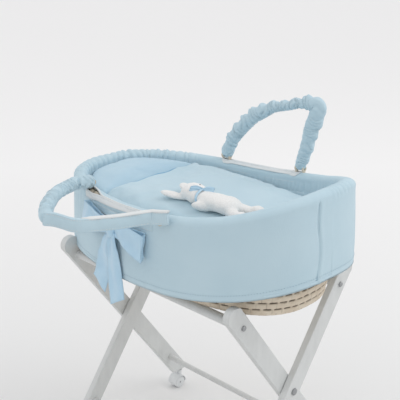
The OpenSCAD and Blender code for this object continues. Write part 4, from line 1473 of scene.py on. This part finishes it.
def ribbonBow():
    pieces = []

    def onSkirt(line, base=0.0022):
        p = np.array(line, float)
        y = np.array([skirtY(a, c) for a, c in zip(p[:, 0], p[:, 2])])
        return np.stack([p[:, 0], y - base - p[:, 1], p[:, 2]], 1)

    x, z = bow["x"], bow["z"]
    left = onSkirt(loopLine(x - 0.004, z, x - 0.128, z + 0.003, 0.021, 0.004))
    right = onSkirt(loopLine(x + 0.004, z, x + 0.122, z - 0.012, 0.021, 0.006))
    pieces.append(ribbonStrip("bowLeft", left, [0.022, 0.046, 0.066, 0.070, 0.058, 0.040, 0.020],
                              [(0, 0.1, 1)] * 3, 11, 0.0022))
    pieces.append(ribbonStrip("bowRight", right, [0.022, 0.044, 0.064, 0.068, 0.056, 0.040, 0.020],
                              [(0, 0.1, 1)] * 3, 12, 0.0022))
    k = np.linspace(0, 1, 18)
    tailL = np.stack([mix(x - 0.006, x - 0.066, k ** 0.8), 0.006 + 0.004 * np.sin(k * 7), mix(z - 0.006,
        0.574, k)], 1)
    tailR = np.stack([mix(x + 0.006, x + 0.020, k) - 0.012 * np.sin(math.pi * k),
                      0.010 + 0.004 * np.sin(k * 6 + 1),
                      mix(z - 0.006, 0.556, k)], 1)
    pieces.append(ribbonStrip("tailLeft", onSkirt(tailL), [0.020, 0.040, 0.050, 0.052, 0.054],
                              [(1, 0, -0.25)] * 2, 13, 0.0026, 0.012))
    pieces.append(ribbonStrip("tailRight", onSkirt(tailR), [0.018, 0.040, 0.052, 0.056, 0.058],
                              [(1, 0, 0.05)] * 2, 14, 0.0030, -0.014))
    # knot: a short band pulled round the middle
    a = np.linspace(0, 2 * math.pi, 25)[:-1]
    cy = skirtY(x, z)
    rows = []
    for v in np.linspace(-1, 1, 13):
        pinch = 1 - 0.22 * v * v
        rr = np.stack([x + 0.0135 * np.cos(a) * pinch + 0.0010 * np.sin(3 * a + v * 2),
                       cy - 0.0135 - 0.0115 * np.sin(a) * pinch,
                       np.full(24, z + v * 0.017) + 0.0015 * np.cos(2 * a)], 1)
        rows.append(rr)
    faces = closedFaces(13, 24)
    knot = newPiece("bowKnot", np.vstack(rows), faces, satinRibbon, "basket")
    for p in pieces:
        thicken(p, bow["thick"], 0)
    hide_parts("bow")


ribbonBow()
print("bow tied")

# plush rabbit
rabbit = {"x": 0.105, "y": -0.095, "voxel": 0.0035}


def ball(parts, at, size, turn=(0, 0, 0)):
    mesh = bpy.data.meshes.new("lump")
    work = bmesh.new()
    m = Matrix.Translation(Vector(at)) @ Matrix.Rotation(turn[2], 4, "Z") @ Matrix.Rotation(turn[1], 4, "Y") \
        @ Matrix.Rotation(turn[0], 4, "X") @ Matrix.Diagonal((*size, 1))
    bmesh.ops.create_uvsphere(work, u_segments=28, v_segments=18, radius=1.0, matrix=m)
    work.to_mesh(mesh)
    work.free()
    obj = bpy.data.objects.new("lump", mesh)
    scene.collection.objects.link(obj)
    parts.append(obj)
    return obj


def plushRabbit():
    ground = max(coverTop(rabbit["x"] + dx, rabbit["y"] + dy) for dx in (-0.05, 0, 0.05) for dy in (-0.02,
        0.02))
    gz = ground - 0.001

    def at(dx, dy, dz):
        return (rabbit["x"] + dx, rabbit["y"] + dy + midY, gz + dz)

    parts = []
    ball(parts, at(0.042, -0.004, 0.0205), (0.054, 0.031, 0.0205))                # body
    ball(parts, at(0.070, -0.002, 0.0205), (0.034, 0.034, 0.0205))                # hips
    ball(parts, at(0.006, -0.002, 0.0195), (0.028, 0.026, 0.0190))                # chest
    ball(parts, at(-0.044, 0.004, 0.0225), (0.035, 0.031, 0.0225))                # head
    ball(parts, at(-0.030, -0.012, 0.0185), (0.018, 0.017, 0.0165))               # cheek
    for y, z, turn, long in ((-0.020, 0.010, 0.30, 0.040), (0.026, 0.016, -0.30, 0.034)):    # ears
        ball(parts, at(-0.092, y, z), (long, 0.0155, 0.0072), (0, 0.10, turn))
    for side in (-1, 1):                                                          # legs and arms
        ball(parts, at(0.108, side * 0.021, 0.0125), (0.037, 0.0150, 0.0125), (0, 0.08, side * 0.20))
        ball(parts, at(0.138, side * 0.028, 0.0150), (0.021, 0.0155, 0.0150), (0, 0, side * 0.15))
        ball(parts, at(0.018, side * 0.031, 0.0120), (0.031, 0.0125, 0.0115), (0, 0.05, side * -0.42))
    for p in parts:
        p.parent = None
    obj = joined("plushRabbit", parts, "basket")
    obj.data.materials.clear()
    obj.data.materials.append(whitePlush)
    remesh(obj, rabbit["voxel"])
    relax(obj, 0.7, 4)
    stuff(obj, rabbit["voxel"], 1.5, 0.002, 12)
    subdivide(obj, 1)
    obj.data.materials.clear()
    obj.data.materials.append(whitePlush)
    co, nm = pointsOf(obj), normalsOf(obj)
    co += nm * (0.0006 * wave2(co[:, 0] + co[:, 2], co[:, 1] - co[:, 2], 601, 0.006))[:, None]
    setPoints(obj, co)
    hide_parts("rabbit")
    # sewn eyes and nose
    tree = BVHTree.FromObject(obj, bpy.context.evaluated_depsgraph_get())
    bits = []
    for dx, dy, r, finish in ((-0.034, -0.013, 0.0019, "dark"), (-0.034, 0.013, 0.0019, "dark"),
                              (-0.022, 0.0, 0.0022, "brown")):
        hit = tree.ray_cast(Vector(at(dx, dy, 0.1)), Vector((0, 0, -1)))
        if hit[0] is None:
            continue
        p = []
        ball(p, hit[0], (r, r * 0.8, r * 0.7))
        p[0].data.materials.append(threads[finish])
        for poly in p[0].data.polygons:
            poly.use_smooth = True
        bits.append(p[0])
    face = joined("rabbitFace", bits, "basket")
    # neck ribbon and its small bow
    cx = rabbit["x"] - 0.013
    a = np.linspace(0, 2 * math.pi, 33)[:-1]
    rows = []
    for side, radius in ((1, 0.0238), (-1, 0.0230)):      # outer face, then inner face
        for v in np.linspace(-side, side, 5):
            rr = radius * (1 - 0.03 * v * v)
            rows.append(np.stack([np.full(32, cx + v * 0.0038), rabbit["y"] + rr * 1.02 * np.cos(a),
                                  gz + 0.0200 + rr * 0.84 * np.sin(a)], 1))
    band = newPiece("rabbitRibbon", np.vstack(rows), gridFaces(len(rows), 32, True, 0, True), satinRibbon,
                    "basket")
    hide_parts("rabbit_ribbon")
    topZ = gz + 0.0400
    for k, (dx, dy) in enumerate(((0.030, 0.010), (-0.022, -0.022))):
        path = [[cx, rabbit["y"], topZ - 0.001], [cx + dx * 0.5, rabbit["y"] + dy * 0.5, topZ + 0.004],
                [cx + dx, rabbit["y"] + dy, topZ + 0.001], [cx + dx * 0.6, rabbit["y"] + dy * 0.6,
                                                            topZ - 0.001],
                [cx, rabbit["y"], topZ - 0.001]]
        strip = ribbonStrip("rabbitBow%d" % k, curve(path, 6), [0.006, 0.010, 0.011, 0.010, 0.006],
                            [(0.2, 0.3, 1)] * 2, 15 + k, 0.0008)
        thicken(strip, 0.0006, 0)


plushRabbit()
print("rabbit sewn")

# floor, light and camera
# floor colours: painted shade near the camera, painted light further off
studio = {"floorShadeNear": (0.80, 0.80, 0.795), "floorLightFar": (0.955, 0.95, 0.945), "world": 0.88, "key": 24,
          "fill": 5}


def makeStudio():
    m, tree, shader = newFinish("paleFloor", studio["floorShadeNear"], 0.75)
    at = place(tree)
    split = node(tree, "ShaderNodeSeparateXYZ")
    tree.links.new(at, split.inputs[0])
    # the floor's colour is a painted gradient of light: painted shade toward the camera, painted light away
    # from it
    floorLightRamp = maths(tree, "ADD", maths(tree, "MULTIPLY", split.outputs["Y"], 0.12), maths(tree, "MULTIPLY",
        split.outputs["X"], -0.12))
    tinted(tree, shader, floorLightRamp, (0.05, studio["floorShadeNear"]), (0.45, studio["floorLightFar"]))
    bumped(tree, shader, noiseOf(tree, at, 160, 3), 0.00005, 0.3)
    mesh = bpy.data.meshes.new("floor")
    s = 30.0
    mesh.from_pydata([(-s, -s, 0), (s, -s, 0), (s, s, 0), (-s, s, 0)], [], [(0, 1, 2, 3)])
    mesh.materials.append(m)
    floor = bpy.data.objects.new("floor", mesh)
    scene.collection.objects.link(floor)
    world = bpy.data.worlds.new("studio")
    scene.world = world
    world.use_nodes = True
    world.node_tree.nodes["Background"].inputs["Color"].default_value = (0.99, 0.99, 1.0, 1)
    world.node_tree.nodes["Background"].inputs["Strength"].default_value = studio["world"]
    for name, at, size, power in (("key", (1.9, 1.6, 3.0), 2.2, studio["key"]), ("fill", (-2.2, -1.6, 2.4),
        2.6, studio["fill"])):
        light = bpy.data.lights.new(name, "AREA")
        light.energy, light.size = power, size
        lamp = bpy.data.objects.new(name, light)
        scene.collection.objects.link(lamp)
        lamp.location = at
        lamp.rotation_euler = (Vector((0, 0, 0.7)) - Vector(at)).to_track_quat("-Z", "Y").to_euler()
    cam = bpy.data.cameras.new("camera")
    cam.lens, cam.sensor_width = 80.4, 36
    eye = bpy.data.objects.new("camera", cam)
    scene.collection.objects.link(eye)
    eye.location = (1.486, -1.421, 1.564)
    eye.rotation_euler = (math.radians(69.51), 0, math.radians(44.46))
    scene.camera = eye
    scene.view_settings.view_transform = "Standard"


makeStudio()
print("studio set")
